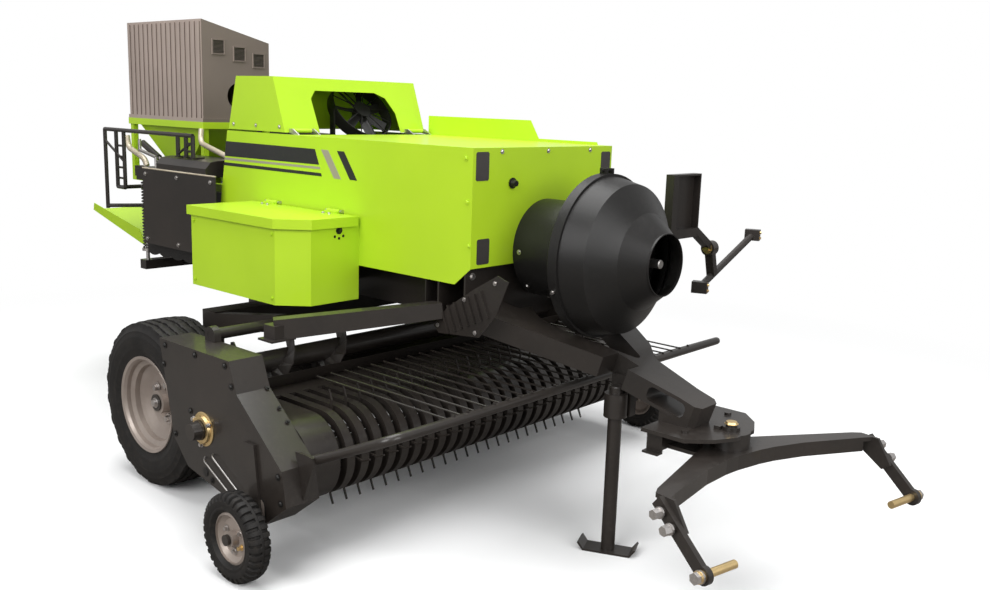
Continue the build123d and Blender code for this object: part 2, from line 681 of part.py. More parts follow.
def input_shaft():
    """Shaft with the flywheel on it, down to the stub that takes the drive shaft."""
    disc0 = DRUM_BACK + 30
    disc1 = disc0 + FLYWHEEL_W
    end = disc1 + STUB_LEN
    rim_r = FLYWHEEL_R - 60
    start = BODY_FRONT - SHEET
    points = [(start, 0), (start, SHAFT_R), (disc0, SHAFT_R), (disc0, 70), (disc0 + 20, 70),
              (disc0 + 20, rim_r), (disc0, rim_r), (disc0, FLYWHEEL_R), (disc1, FLYWHEEL_R),
              (disc1, rim_r), (disc0 + 45, rim_r), (disc0 + 45, 70), (disc1, 70), (disc1, 30),
              (disc1 + 25, 30), (disc1 + 25, STUB_R), (end - 3, STUB_R), (end, STUB_R - 3), (end, 0)]
    return Pos(0, 0, SHAFT_Z) * turned_x(points)


# Hitch
def hitch_plates():
    """Plates above and below the yoke under the drawbar's nose, their channels, and the pivot bolt."""
    over = YOKE_TOP + SEAT_GAP
    under = YOKE_TOP - YOKE_T - SEAT_GAP
    rear, front, half = HITCH_REAR, HITCH_FRONT, HITCH_HALF
    corner = 62.0
    far_side = [(front, corner), (front - 44, half - 74), (front - 120, half), (rear, half)]
    near_side = [(x, -y) for x, y in reversed(far_side)]
    plates = plan_plate(near_side + far_side, HITCH_TOP - HITCH_T, HITCH_TOP)
    low_half = half - 102
    plates += plan_plate([(rear, -low_half), (2200, -low_half), (2270, -60), (2280, 0), (2270, 60),
                          (2200, low_half), (rear, low_half)], under - HITCH_T, under)
    wall = [(rear, HITCH_TOP - HITCH_T), (rear + 65, HITCH_TOP - HITCH_T), (rear + 65, under - HITCH_T - 4),
            (rear, under - HITCH_T - 4)]
    plates += block(rear, rear + 55, -half + 52, half - 52, under - HITCH_T, HITCH_TOP - HITCH_T)
    for side in (-1, 1):
        y0, y1 = sorted((side * (half - 52), side * (half - 44)))
        plates += side_plate(wall, y0, y1)
        y0, y1 = sorted((side * (half - 52), side * (half - 16)))
        plates += block(rear, rear + 65, y0, y1, under - HITCH_T - 8, under - HITCH_T)
        plates += rod((2126, side * (half - 67), HITCH_TOP - 2), (2126, side * (half - 67), HITCH_TOP + 9), 13)
    plates += Pos(BOLT_X, 0, (over + HITCH_TOP) / 2) * Cylinder(70, HITCH_TOP - over)
    nose = Pos(BAR_REAR, 0, BAR_TOP_REAR) * Rot(0, BAR_TILT, 0) * block(-100, BAR_LEN + 200, -300, 300, -BAR_T, 400)
    web = side_plate([(rear, HITCH_TOP), (BOLT_X - 100, HITCH_TOP), (rear, HITCH_TOP + 90)],
                     NOSE_Y - BAR_HALF_NOSE, NOSE_Y + BAR_HALF_NOSE)
    web -= block(rear - 1, BOLT_X, NOSE_Y + 12 - BAR_HALF_NOSE, NOSE_Y + BAR_HALF_NOSE - 12, 0, 2000)
    plates += web - nose
    plates += rod((BOLT_X, 0, under - HITCH_T - 28), (BOLT_X, 0, HITCH_TOP + 22), BOLT_R)
    plates += rod((BOLT_X, 0, HITCH_TOP), (BOLT_X, 0, HITCH_TOP + 14), BOLT_R + 12)
    plates += block(BOLT_X - 52, BOLT_X - 28, -34, 6, HITCH_TOP, HITCH_TOP + 12)
    plates += rod((BOLT_X, 0, under - HITCH_T - 24), (BOLT_X, 0, under - HITCH_T), BOLT_R + 12)
    return plates


def yoke_place():
    return Pos(BOLT_X, 0, 0) * Rot(0, 0, YOKE_YAW)


def yoke():
    """Spreader plate with two arms and a concave front edge, flanged down along it and at its ends."""
    half = YOKE_HALF
    front = [(ARM_FRONT, half), (ARM_FRONT - 20, half - 45), (YOKE_NECK + 34, 260), (YOKE_NECK + 7, 130),
             (YOKE_NECK, 60)]
    rear = [(-95, 60), (-40, 105), (ARM_REAR - 22, half - 30), (ARM_REAR, half)]
    outline = rear + front + [(x, -y) for x, y in reversed(front)] + [(x, -y) for x, y in reversed(rear)]
    plate = plan_plate(outline, YOKE_TOP - YOKE_T, YOKE_TOP)
    plate += Pos(0, 0, YOKE_TOP - YOKE_T / 2) * Cylinder(82, YOKE_T)
    plate -= Pos(0, 0, YOKE_TOP) * Cylinder(BOLT_R + RUN_GAP, 200)
    edge = front[1:] + [(x, -y) for x, y in reversed(front[1:])]
    flange = edge + [(x - FLANGE_T, y) for x, y in reversed(edge)]
    plate += plan_plate(flange, YOKE_TOP - FLANGE_DROP, YOKE_TOP - YOKE_T / 2)
    for side in (-1, 1):
        y0, y1 = sorted((side * (half - 12), side * half))
        ear = [(ARM_REAR, YOKE_TOP), (ARM_FRONT + 18, YOKE_TOP), (ARM_FRONT + 78, YOKE_TOP - 88),
               (ARM_FRONT + 44, YOKE_TOP - 112), (ARM_REAR + 20, YOKE_TOP - 62)]
        plate += side_plate(ear, y0, y1)
    return yoke_place() * plate


def yoke_links():
    """Flat links from the yoke's ends down to the eyes."""
    links = Part()
    for side in (-1, 1):
        y0, y1 = sorted((side * YOKE_HALF, side * (YOKE_HALF + LINK_T)))
        start = (ARM_REAR + 20, YOKE_TOP - 14)
        end = (EYE_REACH, EYE_Z)
        run = hypot(end[0] - start[0], end[1] - start[1])
        ux, uz = (end[0] - start[0]) / run, (end[1] - start[1]) / run
        w = 22.0
        strap = [(start[0] + uz * w, start[1] - ux * w), (end[0] + uz * w, end[1] - ux * w),
                 (end[0] - uz * w, end[1] + ux * w), (start[0] - uz * w, start[1] + ux * w)]
        link = side_plate(strap, y0, y1) + along_y(EYE_REACH, EYE_Z, y0, y1, EYE_R)
        for t in (0.16, 0.38):
            bx, bz = start[0] + ux * run * t, start[1] + uz * run * t
            link += along_y(bx, bz, side * (YOKE_HALF + LINK_T), side * (YOKE_HALF + LINK_T + 16), 15)
        links += link
    return yoke_place() * links


def link_pins():
    """Hitch pins that point inwards from the eyes."""
    pins = Part()
    for side in (-1, 1):
        pins += along_y(EYE_REACH, EYE_Z, side * YOKE_HALF, side * (YOKE_HALF - PIN_LEN), PIN_R)
        pins += along_y(EYE_REACH, EYE_Z, side * (YOKE_HALF + LINK_T), side * (YOKE_HALF + LINK_T + 20), 20)
    return yoke_place() * pins


# Pickup
def housing_outline():
    return [(343, 755), (826, 755), (872, 640), (1140, 420), (1165, 290), (1020, 180), (530, 272), (432, 370)]


def pickup_housing():
    """Right side housing of the pickup, with the lift ear, the guard's ear and the gauge wheel arm."""
    body = side_plate(housing_outline(), -PICK_OUT, -PICK_IN)
    body += along_y(BEARING_X, BEARING_Z, -PICK_OUT - 16, -PICK_OUT, 52)
    body += along_y(BEARING_X, BEARING_Z, -PICK_OUT - 40, -PICK_OUT - 16, 26)
    ear = along_y(LIFT_X, LIFT_Z, -PICK_IN - 30, -PICK_IN, 34) + block(LIFT_X - 34, LIFT_X + 34, -PICK_IN - 30,
                                                                        -PICK_IN, 750, LIFT_Z)
    body += ear
    body -= along_y(LIFT_X, LIFT_Z, -PICK_IN - 31, -PICK_IN + 1, LIFT_PIN_R + RUN_GAP)
    body -= along_y(REEL_X, REEL_Z, -PICK_IN - 30, -PICK_IN + 1, 25 + RUN_GAP)
    body -= along_y(AUGER_X, AUGER_Z, -PICK_IN - 30, -PICK_IN + 1, 20 + RUN_GAP)
    guard_ear = [(1120, 470), (1165, 300), (GUARD_X + 22, GUARD_Z - 20), (GUARD_X + 22, GUARD_Z + 20),
                 (GUARD_X - 20, GUARD_Z + 24)]
    y_ear = -GUARD_HALF - GUARD_PIPE_R - 2
    body += side_plate(guard_ear, y_ear - 12, y_ear)
    body += along_y(GUARD_X, GUARD_Z, y_ear, -GUARD_HALF + GUARD_PIPE_R + 8, 8)
    arm_y = -PICK_OUT
    arm = [(930, 480), (990, 480), (GAUGE_X + 30, GAUGE_R), (GAUGE_X + 20, GAUGE_R - 22),
           (GAUGE_X - 20, GAUGE_R - 22), (GAUGE_X - 30, GAUGE_R)]
    body += side_plate(arm, arm_y - 12, arm_y)
    body += along_y(GAUGE_X, GAUGE_R, arm_y - 12, -GAUGE_Y - 44, GAUGE_AXLE_R)
    body += along_y(GAUGE_X, GAUGE_R, arm_y - 12, -GAUGE_Y + 36, GAUGE_AXLE_R + 8)
    body += along_y(GAUGE_X, GAUGE_R, -GAUGE_Y - 36, -GAUGE_Y - 48, GAUGE_AXLE_R + 8)
    return body


def stripper_band(y0, y1):
    """Band bent round the reel: roof, round front and floor, open at its rear."""
    r, back = BAND_RADIUS, BAND_BACK
    inner = r - BAND_T
    full = side_plate([(back, REEL_Z - r), (REEL_X, REEL_Z - r), (REEL_X, REEL_Z + r), (back, REEL_Z + r)], y0, y1)
    full += along_y(REEL_X, REEL_Z, y0, y1, r)
    hollow = side_plate([(back - 1, REEL_Z - inner), (REEL_X, REEL_Z - inner), (REEL_X, REEL_Z + inner),
                         (back - 1, REEL_Z + inner)], y0 - 1, y1 + 1)
    hollow += along_y(REEL_X, REEL_Z, y0 - 1, y1 + 1, inner)
    return full - hollow


def strippers():
    """Bands between the tines, plain guards at both ends, on two cross bars."""
    half = (BANDS - 1) * BAND_PITCH / 2
    one = stripper_band(-BAND_WIDTH / 2, BAND_WIDTH / 2)
    bands = [Pos(0, -half + i * BAND_PITCH, 0) * one for i in range(BANDS)]
    end = stripper_band(half + BAND_PITCH - 18, PICK_IN)
    bars = [block(BAND_BACK, BAND_BACK + 35, -PICK_IN, PICK_IN, z, z + 10)
            for z in (REEL_Z - BAND_RADIUS, REEL_Z + BAND_RADIUS - 10)]
    return Part() + bands + [end, mirrored(end)] + bars


def tine():
    """One spring tine, two straight runs, in the reel's own place with its bar at the top."""
    depth = 7.0
    rise = [(-3.5, TINE_BAR_R), (3.5, TINE_BAR_R), (8, TIP_R - 40), (-10, TIP_R - 0.2), (-15, TIP_R - 4),
            (1, TIP_R - 42)]
    return side_plate(rise, -depth / 2, depth / 2)


def pickup_reel():
    """Shaft, end and middle discs, tine bars and tines."""
    half = (BANDS - 1) * BAND_PITCH / 2
    reel = along_y(0, 0, -PICK_IN + 1, PICK_IN - 1, 32)
    reel += along_y(0, 0, -PICK_IN - 25, PICK_IN + 25, 25)
    for y in (-half - 60, -6, half + 48):
        reel += along_y(0, 0, y, y + 12, TINE_BAR_R + 14)
    one = tine()
    for k in range(TINE_BARS):
        bar = flat_bar((0, -half - 50, TINE_BAR_R), (0, half + 50, TINE_BAR_R), 16, 16, (1, 0, 0))
        row = [Pos(0, -half + (i + 0.5) * BAND_PITCH, 0) * one for i in range(BANDS - 1)]
        reel += Rot(0, 360 / TINE_BARS * k, 0) * (bar + row)
    return Pos(REEL_X, 0, REEL_Z) * reel


def feed_trough():
    """Curved pan under the auger, up to the strippers' rear bar."""
    inner = AUGER_R + TROUGH_GAP
    outer = inner + BAND_T
    pan = along_y(AUGER_X, AUGER_Z, -PICK_IN, PICK_IN, outer) - along_y(AUGER_X, AUGER_Z, -PICK_IN - 1,
                                                                         PICK_IN + 1, inner)
    pan &= block(300, 700, -PICK_IN, PICK_IN, 400, AUGER_Z - 30)
    lip = block(AUGER_X + inner / 2, BAND_BACK - SEAT_GAP, -PICK_IN, PICK_IN, REEL_Z + BAND_RADIUS - 10,
                REEL_Z + BAND_RADIUS - 4)
    lip -= along_y(AUGER_X, AUGER_Z, -PICK_IN - 1, PICK_IN + 1, inner)
    return pan + lip


def rear_wall():
    """Perforated wall below the trough."""
    pan_r = AUGER_R + TROUGH_GAP + BAND_T
    x, low = AUGER_X - 60, REEL_Z - 85
    wall = block(x, x + PLATE, -PICK_IN, PICK_IN, low, AUGER_Z - pan_r + 8 + 20)
    wall -= along_y(AUGER_X, AUGER_Z, -PICK_IN - 1, PICK_IN + 1, pan_r)
    for i in range(-6, 7):
        for row in (0, 1):
            y, z = i * 140 + row * 56, low + 55 + row * 70
            wall -= prism((x - 10, y, z), (x + 20, y, z), 14, 6)
    return wall + block(x + PLATE, x + 60, -PICK_IN, PICK_IN, low, low + PLATE)


def helicoid(y0, y1, turns, radius, core, thick, steps):
    """Auger flight from flat facets: points on two helices, closed into one solid."""
    rings = []
    for i in range(steps + 1):
        a = 2 * pi * turns * i / steps
        y = y0 + (y1 - y0) * i / steps
        c, s = cos(a), sin(a)
        rings.append([(core * c, y, core * s), (radius * c, y, radius * s),
                      (radius * c, y + thick, radius * s), (core * c, y + thick, core * s)])
    faces = []
    for a, b in zip(rings, rings[1:]):
        for j in range(4):
            k = (j + 1) % 4
            faces.append(Face(Wire.make_polygon([a[j], b[j], b[k]])))
            faces.append(Face(Wire.make_polygon([a[j], b[k], a[k]])))
    for ring in (rings[0], rings[-1]):
        faces.append(Face(Wire.make_polygon(ring)))
    return Solid(Shell(faces))


def auger():
    """Cross auger that feeds from both ends to the middle."""
    screw = along_y(0, 0, -PICK_IN + 1, PICK_IN - 1, AUGER_TUBE_R)
    screw += along_y(0, 0, -PICK_IN - 20, PICK_IN + 20, 20)
    flight = helicoid(-PICK_IN + 20, -320, 2.5, AUGER_R, AUGER_TUBE_R - 8, 5, 30)
    screw += flight
    screw += mirrored(Part() + flight)
    return Pos(AUGER_X, 0, AUGER_Z) * screw


def pickup_arms():
    """Arms from the portal axle to the pickup's lift pins."""
    arms = Part()
    leg_out = LEG_Y + LEG_T
    for side in (-1, 1):
        y0, y1 = sorted((side * LEG_Y, side * leg_out))
        arms += side_plate([(BEAM / 2, BEAM_TOP - 80), (BEAM / 2, BEAM_TOP - 5), (LIFT_X - 10, LIFT_Z + 32),
                            (LIFT_X + 34, LIFT_Z + 20), (LIFT_X + 34, LIFT_Z - 35)], y0, y1)
        arms += along_y(LIFT_X, LIFT_Z, side * leg_out, side * (PICK_IN + 29), LIFT_PIN_R)
        arms += along_y(LIFT_X, LIFT_Z, side * leg_out, side * (PICK_IN - 1), LIFT_PIN_R + 8)
    return arms


def carrier_struts():
    """Deep diagonal struts from the cross beam under the body out towards the pickup."""
    struts = Part()
    end_y = PICK_IN - 70
    foot_z = LIFT_Z + 20
    for side in (-1, 1):
        root = (CHAMBER_FRONT + 20, side * (BODY_HALF - 2 * SHEET), FRAME_LOW + 50)
        end = (805, side * end_y, FRAME_LOW - 15)
        slope = side_strut(root, end)
        struts += slope
        y0, y1 = sorted((side * (end_y - 60), side * (end_y + 50)))
        struts += block(770, 860, y0, y1, foot_z, foot_z + 8)
        y0, y1 = sorted((side * (end_y - 35), side * (end_y + 30)))
        struts += block(780, 850, y0, y1, foot_z + 8, FRAME_LOW + 5)
    inside = BODY_HALF - SHEET
    return struts - block(0, 2000, -inside, inside, 0, 2000)


def side_strut(root, end):
    """Box strut, deeper at its outer end."""
    run = Vector(*end) - Vector(*root)
    at_root = Plane(origin=root, x_dir=(0, 0, 1), z_dir=run)
    at_end = Plane(origin=end, x_dir=(0, 0, 1), z_dir=run)
    return loft([(at_root * Rectangle(62, 60)).face(), (at_end * Rectangle(80, 60)).face()])


def windguard():
    """Bent pipe in front of the reel, on two pivots."""
    path = FilletPolyline((GUARD_X, -GUARD_HALF, GUARD_Z), (GUARD_PIPE_X, -GUARD_HALF, GUARD_PIPE_Z),
                          (GUARD_PIPE_X, GUARD_HALF, GUARD_PIPE_Z), (GUARD_X, GUARD_HALF, GUARD_Z), radius=50)
    start = Plane(origin=path @ 0, z_dir=path % 0)
    pipe = sweep(start * Circle(GUARD_PIPE_R), path)
    guard = Part() + pipe
    for side in (-1, 1):
        y0, y1 = sorted((side * (GUARD_HALF - 18), side * (GUARD_HALF + 17)))
        guard += along_y(GUARD_X, GUARD_Z, y0, y1, 20)
        y0 = side * (GUARD_HALF + 40)
        guard -= along_y(GUARD_X, GUARD_Z, y0, side * (GUARD_HALF - 60), 8 + RUN_GAP)
    return guard


def windguard_rods():
    """Parallel rods behind the pipe, one over each stripper band, so the tines pass between them."""
    rods = Part()
    half = (BANDS - 3) // 2
    start = GUARD_PIPE_X - GUARD_PIPE_R - SEAT_GAP
    for i in range(-half, half + 1):
        y = i * BAND_PITCH
        rods += prism((start, y, GUARD_PIPE_Z), (GUARD_ROD_REAR, y, GUARD_PIPE_Z + 2), GUARD_ROD_R, 6)
    return rods


# Rear of the machine
def rear_shield():
    """Right rear side shield with a flange and a rounded top cover."""
    inner = -BALE_W / 2 - PLATE
    plate = block(SHIELD_REAR, SHIELD_FRONT, -SHIELD_Y, -SHIELD_Y + SHEET, SHIELD_LOW, SHIELD_TOP)
    for z in (SHIELD_LOW, SHIELD_TOP - SHEET):
        plate += block(SHIELD_REAR, COVER_FRONT, -SHIELD_Y + SHEET, inner, z, z + SHEET)
    edge = SHIELD_Y - 10
    cover = [(-edge, SHIELD_TOP), (-edge, SHIELD_TOP + 0.45 * COVER_H), (-edge + 30, SHIELD_TOP + 0.9 * COVER_H),
             (-edge + 80, SHIELD_TOP + COVER_H), (inner - 14, SHIELD_TOP + COVER_H), (inner - 14, SHIELD_TOP)]
    return plate + front_plate(cover, COVER_REAR, COVER_FRONT)


def tension_frame():
    """Upper and lower beams whose springs squeeze the bale."""
    end = TENSION_Y + 30
    frame = block(TENSION_X - 40, TENSION_X + 40, -end, end, TENSION_TOP, TENSION_TOP + 58)
    frame += block(TENSION_X - 30, TENSION_X + 30, -end, end, TENSION_LOW - 50, TENSION_LOW)
    for y in (-130, 130):
        frame += block(TENSION_X - 30, TENSION_X + 30, y - 20, y + 20, chamber_roof(), TENSION_TOP)
        frame += block(TENSION_X - 30, TENSION_X + 30, y - 20, y + 20, TENSION_LOW, CHAMBER_Z)
    return frame


def tension_springs():
    """Springs round their rods, drawn as stacked rings."""
    springs = Part()
    foot = TENSION_LOW + SPRING_FOOT
    count = 20
    pitch = (TENSION_TOP - foot) / count
    core = SPRING_R - 9
    points = [(9, foot - 14), (SPRING_R + 4, foot - 14), (SPRING_R + 4, foot), (core, foot)]
    for i in range(count):
        z = foot + i * pitch
        points += [(core, z + pitch * 0.25), (SPRING_R, z + pitch * 0.5), (core, z + pitch)]
    points += [(9, TENSION_TOP)]
    coil = revolve(Plane.XZ * make_face(Polyline(*points, close=True)), Axis.Z, 360)
    for y in (-TENSION_Y, TENSION_Y):
        springs += rod((TENSION_X, y, TENSION_LOW), (TENSION_X, y, TENSION_TOP), 10)
        springs += Pos(TENSION_X, y, 0) * coil
    return springs


def tension_cranks():
    """Crank handles on top of the tension screws."""
    cranks = Part()
    top = TENSION_TOP + 58
    for y, turn in ((-350, 180), (350, 200)):
        crank = rod((0, 0, 0), (0, 0, 12), 22)
        crank += rod((0, 0, 12), (0, 0, 60), 9)
        crank += rod((0, 0, 60), (170, 0, 90), 9)
        crank += rod((170, 0, 84), (170, 0, 150), 9)
        cranks += Pos(TENSION_X, y, top) * Rot(0, 0, turn) * crank
    return cranks


def needle_yoke():
    """Needle frame under the chamber, with two curved needles whose tips rest below the floor slots."""
    frame = Part()
    for side in (-1, 1):
        y0, y1 = sorted((side * 242, side * 256))
        frame += side_plate([(-380, 1000), (-320, 1000), (-350, 560), (-410, 560)], y0, y1)
        frame += along_y(-350, 985, side * (BALE_W / 2 + PLATE), side * 242, 20)
    frame += block(-410, -350, -256, 256, 540, 580)
    for y in (-115, 115):
        needle = [(-370, 580), (-350, 580), (-300, 680), (-200, 760), (-112, 812), (-118, 822), (-215, 785),
                  (-330, 700)]
        frame += side_plate(needle, y - 6, y + 6)
    return frame


def bin_legs():
    """Legs and runners under the dust bin."""
    roof = chamber_roof()
    band_low = BIN_LOW - BIN_LEDGE - BIN_BAND
    legs = Part()
    for x in (BIN_FRONT - BIN_LEG, BIN_REAR):
        for y in (-BIN_HALF, BIN_HALF - BIN_LEG):
            legs += block(x, x + BIN_LEG, y, y + BIN_LEG, roof + 40, band_low)
    for y in (-BIN_HALF, BIN_HALF - BIN_LEG):
        legs += block(BIN_REAR, BIN_FRONT + 160, y, y + BIN_LEG, roof, roof + 40)
    return legs


def bin_hopper():
    """Frame band round the bin's foot and the tapered hopper with its spout."""
    length = BIN_FRONT - BIN_REAR
    band_top = BIN_LOW - BIN_LEDGE
    band_low = band_top - BIN_BAND
    band = block(BIN_REAR - 8, BIN_FRONT + 8, -BIN_HALF - 8, BIN_HALF + 8, band_low, band_top)
    top = Pos((BIN_FRONT + BIN_REAR) / 2, 0, band_low) * Rectangle(length - 80, 2 * BIN_HALF - 80)
    low = Pos(SPOUT_X, 0, SPOUT_TOP) * Rectangle(2 * SPOUT_HALF, 2 * SPOUT_HALF)
    spout = block(SPOUT_X - SPOUT_HALF, SPOUT_X + SPOUT_HALF, -SPOUT_HALF, SPOUT_HALF, chamber_roof(), SPOUT_TOP)
    return band + loft([low.face(), top.face()]) + spout


def dust_bin():
    """Hollow corrugated bin with a lean-to roof, three vent recesses and a round port in its front."""
    wall = 4.0
    half = BIN_HALF
    low_roof = BIN_TOP - BIN_FALL
    profile = [(-half, BIN_LOW), (half, BIN_LOW), (half, low_roof), (-half, BIN_TOP)]
    hollow = [(-half + wall, BIN_LOW), (half - wall, BIN_LOW), (half - wall, low_roof - wall),
              (-half + wall, BIN_TOP - 2 * wall)]
    body = front_plate(profile, BIN_REAR, BIN_FRONT)
    body += block(BIN_REAR - 6, BIN_FRONT + 6, -half - 6, half + 6, BIN_LOW - BIN_LEDGE, BIN_LOW)
    body -= front_plate(hollow, BIN_REAR + wall, BIN_FRONT - wall)
    ribs = 16
    pitch = (BIN_FRONT - BIN_REAR) / ribs
    for i in range(ribs):
        x = BIN_REAR + (i + 0.5) * pitch
        body += block(x - pitch * 0.25, x + pitch * 0.25, -half - 6, -half, BIN_LOW, BIN_TOP - 12)
    for y in (-0.72 * half, -0.1 * half, 0.48 * half):
        vent_top = BIN_TOP - BIN_FALL * (y + VENT_SIDE + half) / (2 * half) - VENT_DROP
        vent_low = vent_top - VENT_SIDE
        body += block(BIN_FRONT, BIN_FRONT + 6, y, y + VENT_SIDE, vent_low, vent_top)
        body -= block(BIN_FRONT - 1, BIN_FRONT + 7, y + 6, y + VENT_SIDE - 6, vent_low + 6, vent_top - 6)
    port_z = BIN_LOW + 120
    return body - rod((BIN_FRONT - 30, 10, port_z), (BIN_FRONT + 9, 10, port_z), 70)


def railing():
    """Right railing: rail, posts, two ladders and braces; its front posts stand on the side shield."""
    y = -RAIL_Y
    inner = -BALE_W / 2 - PLATE
    r = RAIL_R
    rail = prism((RAIL_REAR, y, RAIL_TOP), (RAIL_FRONT, y, RAIL_TOP), r, 8)
    cover_top = SHIELD_TOP + COVER_H + SEAT_GAP
    front_posts = (RAIL_FRONT - 140, RAIL_FRONT - LADDER_W + 20, RAIL_FRONT)
    posts = [(RAIL_REAR, RAIL_POST_LOW), (LADDER_REAR, RAIL_LOW), (LADDER_REAR + LADDER_W, RAIL_LOW)]
    for x, low in posts + [(x, cover_top) for x in front_posts]:
        rail += prism((x, y, low), (x, y, RAIL_TOP), r, 8)
    for x in front_posts:
        rail += block(x - 14, x + 14, y - r, -SHIELD_Y + 110, cover_top, cover_top + 6)
    rail += prism((LADDER_REAR, y, RAIL_LOW), (LADDER_REAR + LADDER_W, y, RAIL_LOW), r, 8)
    for z in (1240, 1298, 1357, 1416):
        rail += prism((LADDER_REAR, y, z), (LADDER_REAR + LADDER_W, y, z), 6, 6)
    for z in (1422, 1460):
        rail += prism((RAIL_FRONT - LADDER_W + 20, y, z), (RAIL_FRONT, y, z), 6, 6)
    middle = LADDER_REAR + LADDER_W / 2
    rail += prism((middle, y, RAIL_LOW), (middle, inner, RAIL_LOW), r, 8)
    rail += prism((RAIL_REAR, y, RAIL_POST_LOW + 14), (CHAMBER_REAR + 30, inner - r / 2, RAIL_POST_LOW + 14), r, 8)
    rail += prism((RAIL_REAR, y, 1440), (LADDER_REAR + LADDER_W, y, 1330), 7, 6)
    rail += prism((RAIL_FRONT, y, RAIL_TOP - 30), (RAIL_FRONT - 140, y, cover_top + 16), 7, 6)
    return rail


def chute():
    """Tray behind the chamber with turned-up sides, hinged at its front."""
    tray = block(-CHUTE_LEN, -12, -CHUTE_HALF, CHUTE_HALF, -4, 0)
    for side in (-1, 1):
        y0, y1 = sorted((side * (CHUTE_HALF - 4), side * CHUTE_HALF))
        tray += side_plate([(-12, -4), (-12, 8), (-90, 70), (-CHUTE_LEN, 40), (-CHUTE_LEN, -4)], y0, y1)
    for y in (-180, 180):
        tray += along_y(0, 0, y - 40, y + 40, 10) + block(-20, 0, y - 40, y + 40, -4, 4)
        tray -= along_y(0, 0, y - 41, y + 41, 5 + RUN_GAP)
    return Pos(CHUTE_X, 0, CHUTE_Z) * Rot(0, CHUTE_RISE, 0) * tray


def chute_hinges():
    pins = Part()
    for y in (-180, 180):
        pins += along_y(CHUTE_X, CHUTE_Z, y - 52, y + 52, 5)
        for e in (-52, 44):
            pins += block(CHUTE_X - 8, CHAMBER_REAR, y + e, y + e + 8, CHUTE_Z - 8, CHUTE_Z + 8)
    return pins


def hose_stand():
    """Left front stand: arm, drilled plate box and a cross bar with clamp blocks."""
    y0 = BODY_HALF
    rear_x, box_x, low = BODY_FRONT - 86, BODY_FRONT + 234, NOSE_Z + 115
    stand = block(rear_x, rear_x + 50, y0, y0 + 200, low, low + 50)
    stand += block(rear_x, box_x, y0 + 150, y0 + 200, low, low + 50)
    stand += block(box_x, box_x + 40, y0 + 80, y0 + 305, low - 50, low + 230)
    stand -= block(box_x + 8, box_x + 41, y0 + 120, y0 + 297, low - 10, low + 222)
    pivot = (box_x + 30, y0 + 440, low - 115)
    stand += flat_bar((box_x + 20, y0 + 295, low - 20), pivot, 40, 30, (1, 0, 0))
    stand += along_y(pivot[0], pivot[2], pivot[1] - 22, pivot[1] + 22, 34)
    low_end, high_end = (box_x + 40, y0 + 358, low - 286), (box_x + 40, y0 + 826, low - 82)
    stand += flat_bar(pivot, (box_x + 40, y0 + 460, low - 242), 40, 30, (1, 0, 0))
    stand += rod(low_end, high_end, 16)
    for place in (low_end, high_end):
        stand += Pos(*place) * Rot(0, 0, 20) * Box(70, 46, 52)
    return stand


# Nodes, by name
TO_WHEEL_R = Pos(WHEEL_X, -TRACK_HALF, TYRE_R)
TO_GAUGE_R = Pos(GAUGE_X, -GAUGE_Y, GAUGE_R)


def both(part):
    """A right-hand piece and its mirror image in one node."""
    return Part() + part + mirrored(part)


def right_and_left(name, part):
    """A right-hand piece and its mirror image as two nodes."""
    return {name + "_right": part, name + "_left": mirrored(part)}


def nodes():
    """All nodes by name."""
    out = {}
    out.update(right_and_left("tyre", TO_WHEEL_R * main_tyre()))
    out.update(right_and_left("rim", TO_WHEEL_R * main_rim()))
    out.update(right_and_left("gauge_tyre", TO_GAUGE_R * gauge_tyre()))
    out.update(right_and_left("gauge_rim", TO_GAUGE_R * gauge_rim()))
    out.update(right_and_left("twine_lid", twine_lid()))
    out["twine_boxes"] = both(twine_box())
    out["pickup_housings"] = both(pickup_housing())
    out["rear_shields"] = both(rear_shield())
    out["railings"] = both(railing())
    out["hinge_pins"] = both(lid_hinges()) + hood_hinges() + chute_hinges()
    out["pickup_carrier"] = pickup_arms() + carrier_struts()
    out["bin_stand"] = bin_legs() + bin_hopper()
    out["drawbar"] = drawbar() + jack_clamp()
    single = [axle_beam, bale_chamber, jack_leg, front_frame, bulkheads, gearbox, side_panel_right,
              side_panel_left, front_panel, deck, hood, fan_guard, fan_rotor, knotters, flywheel_shield,
              input_shaft, hitch_plates, yoke, yoke_links, link_pins, strippers, pickup_reel, feed_trough,
              rear_wall, auger, windguard, windguard_rods, tension_frame, tension_springs, tension_cranks,
              needle_yoke, dust_bin, chute, hose_stand]
    for make in single:
        out[make.__name__] = make()
    return out


for name, part in nodes().items():
    export_step(Pos(AXLE_X, 0, 0) * part, f"parts/{name}.step")
    print(name, [round(v) for v in (*part.bounding_box().min, *part.bounding_box().max)], len(part.solids()))
print("AXLE_X", round(AXLE_X, 3))
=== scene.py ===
# %% [markdown]
# A towed square baler, dressed for its picture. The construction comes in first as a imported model: its
# bodies, nodes and joints stay exactly where they are, and everything below gives them a finish or adds
# the small things that a drawing of the construction leaves out, such as tread, bolts and stripes.

# %% Load the frame
import json
from math import cos, pi, radians, sin

import bpy
from mathutils import Matrix, Vector


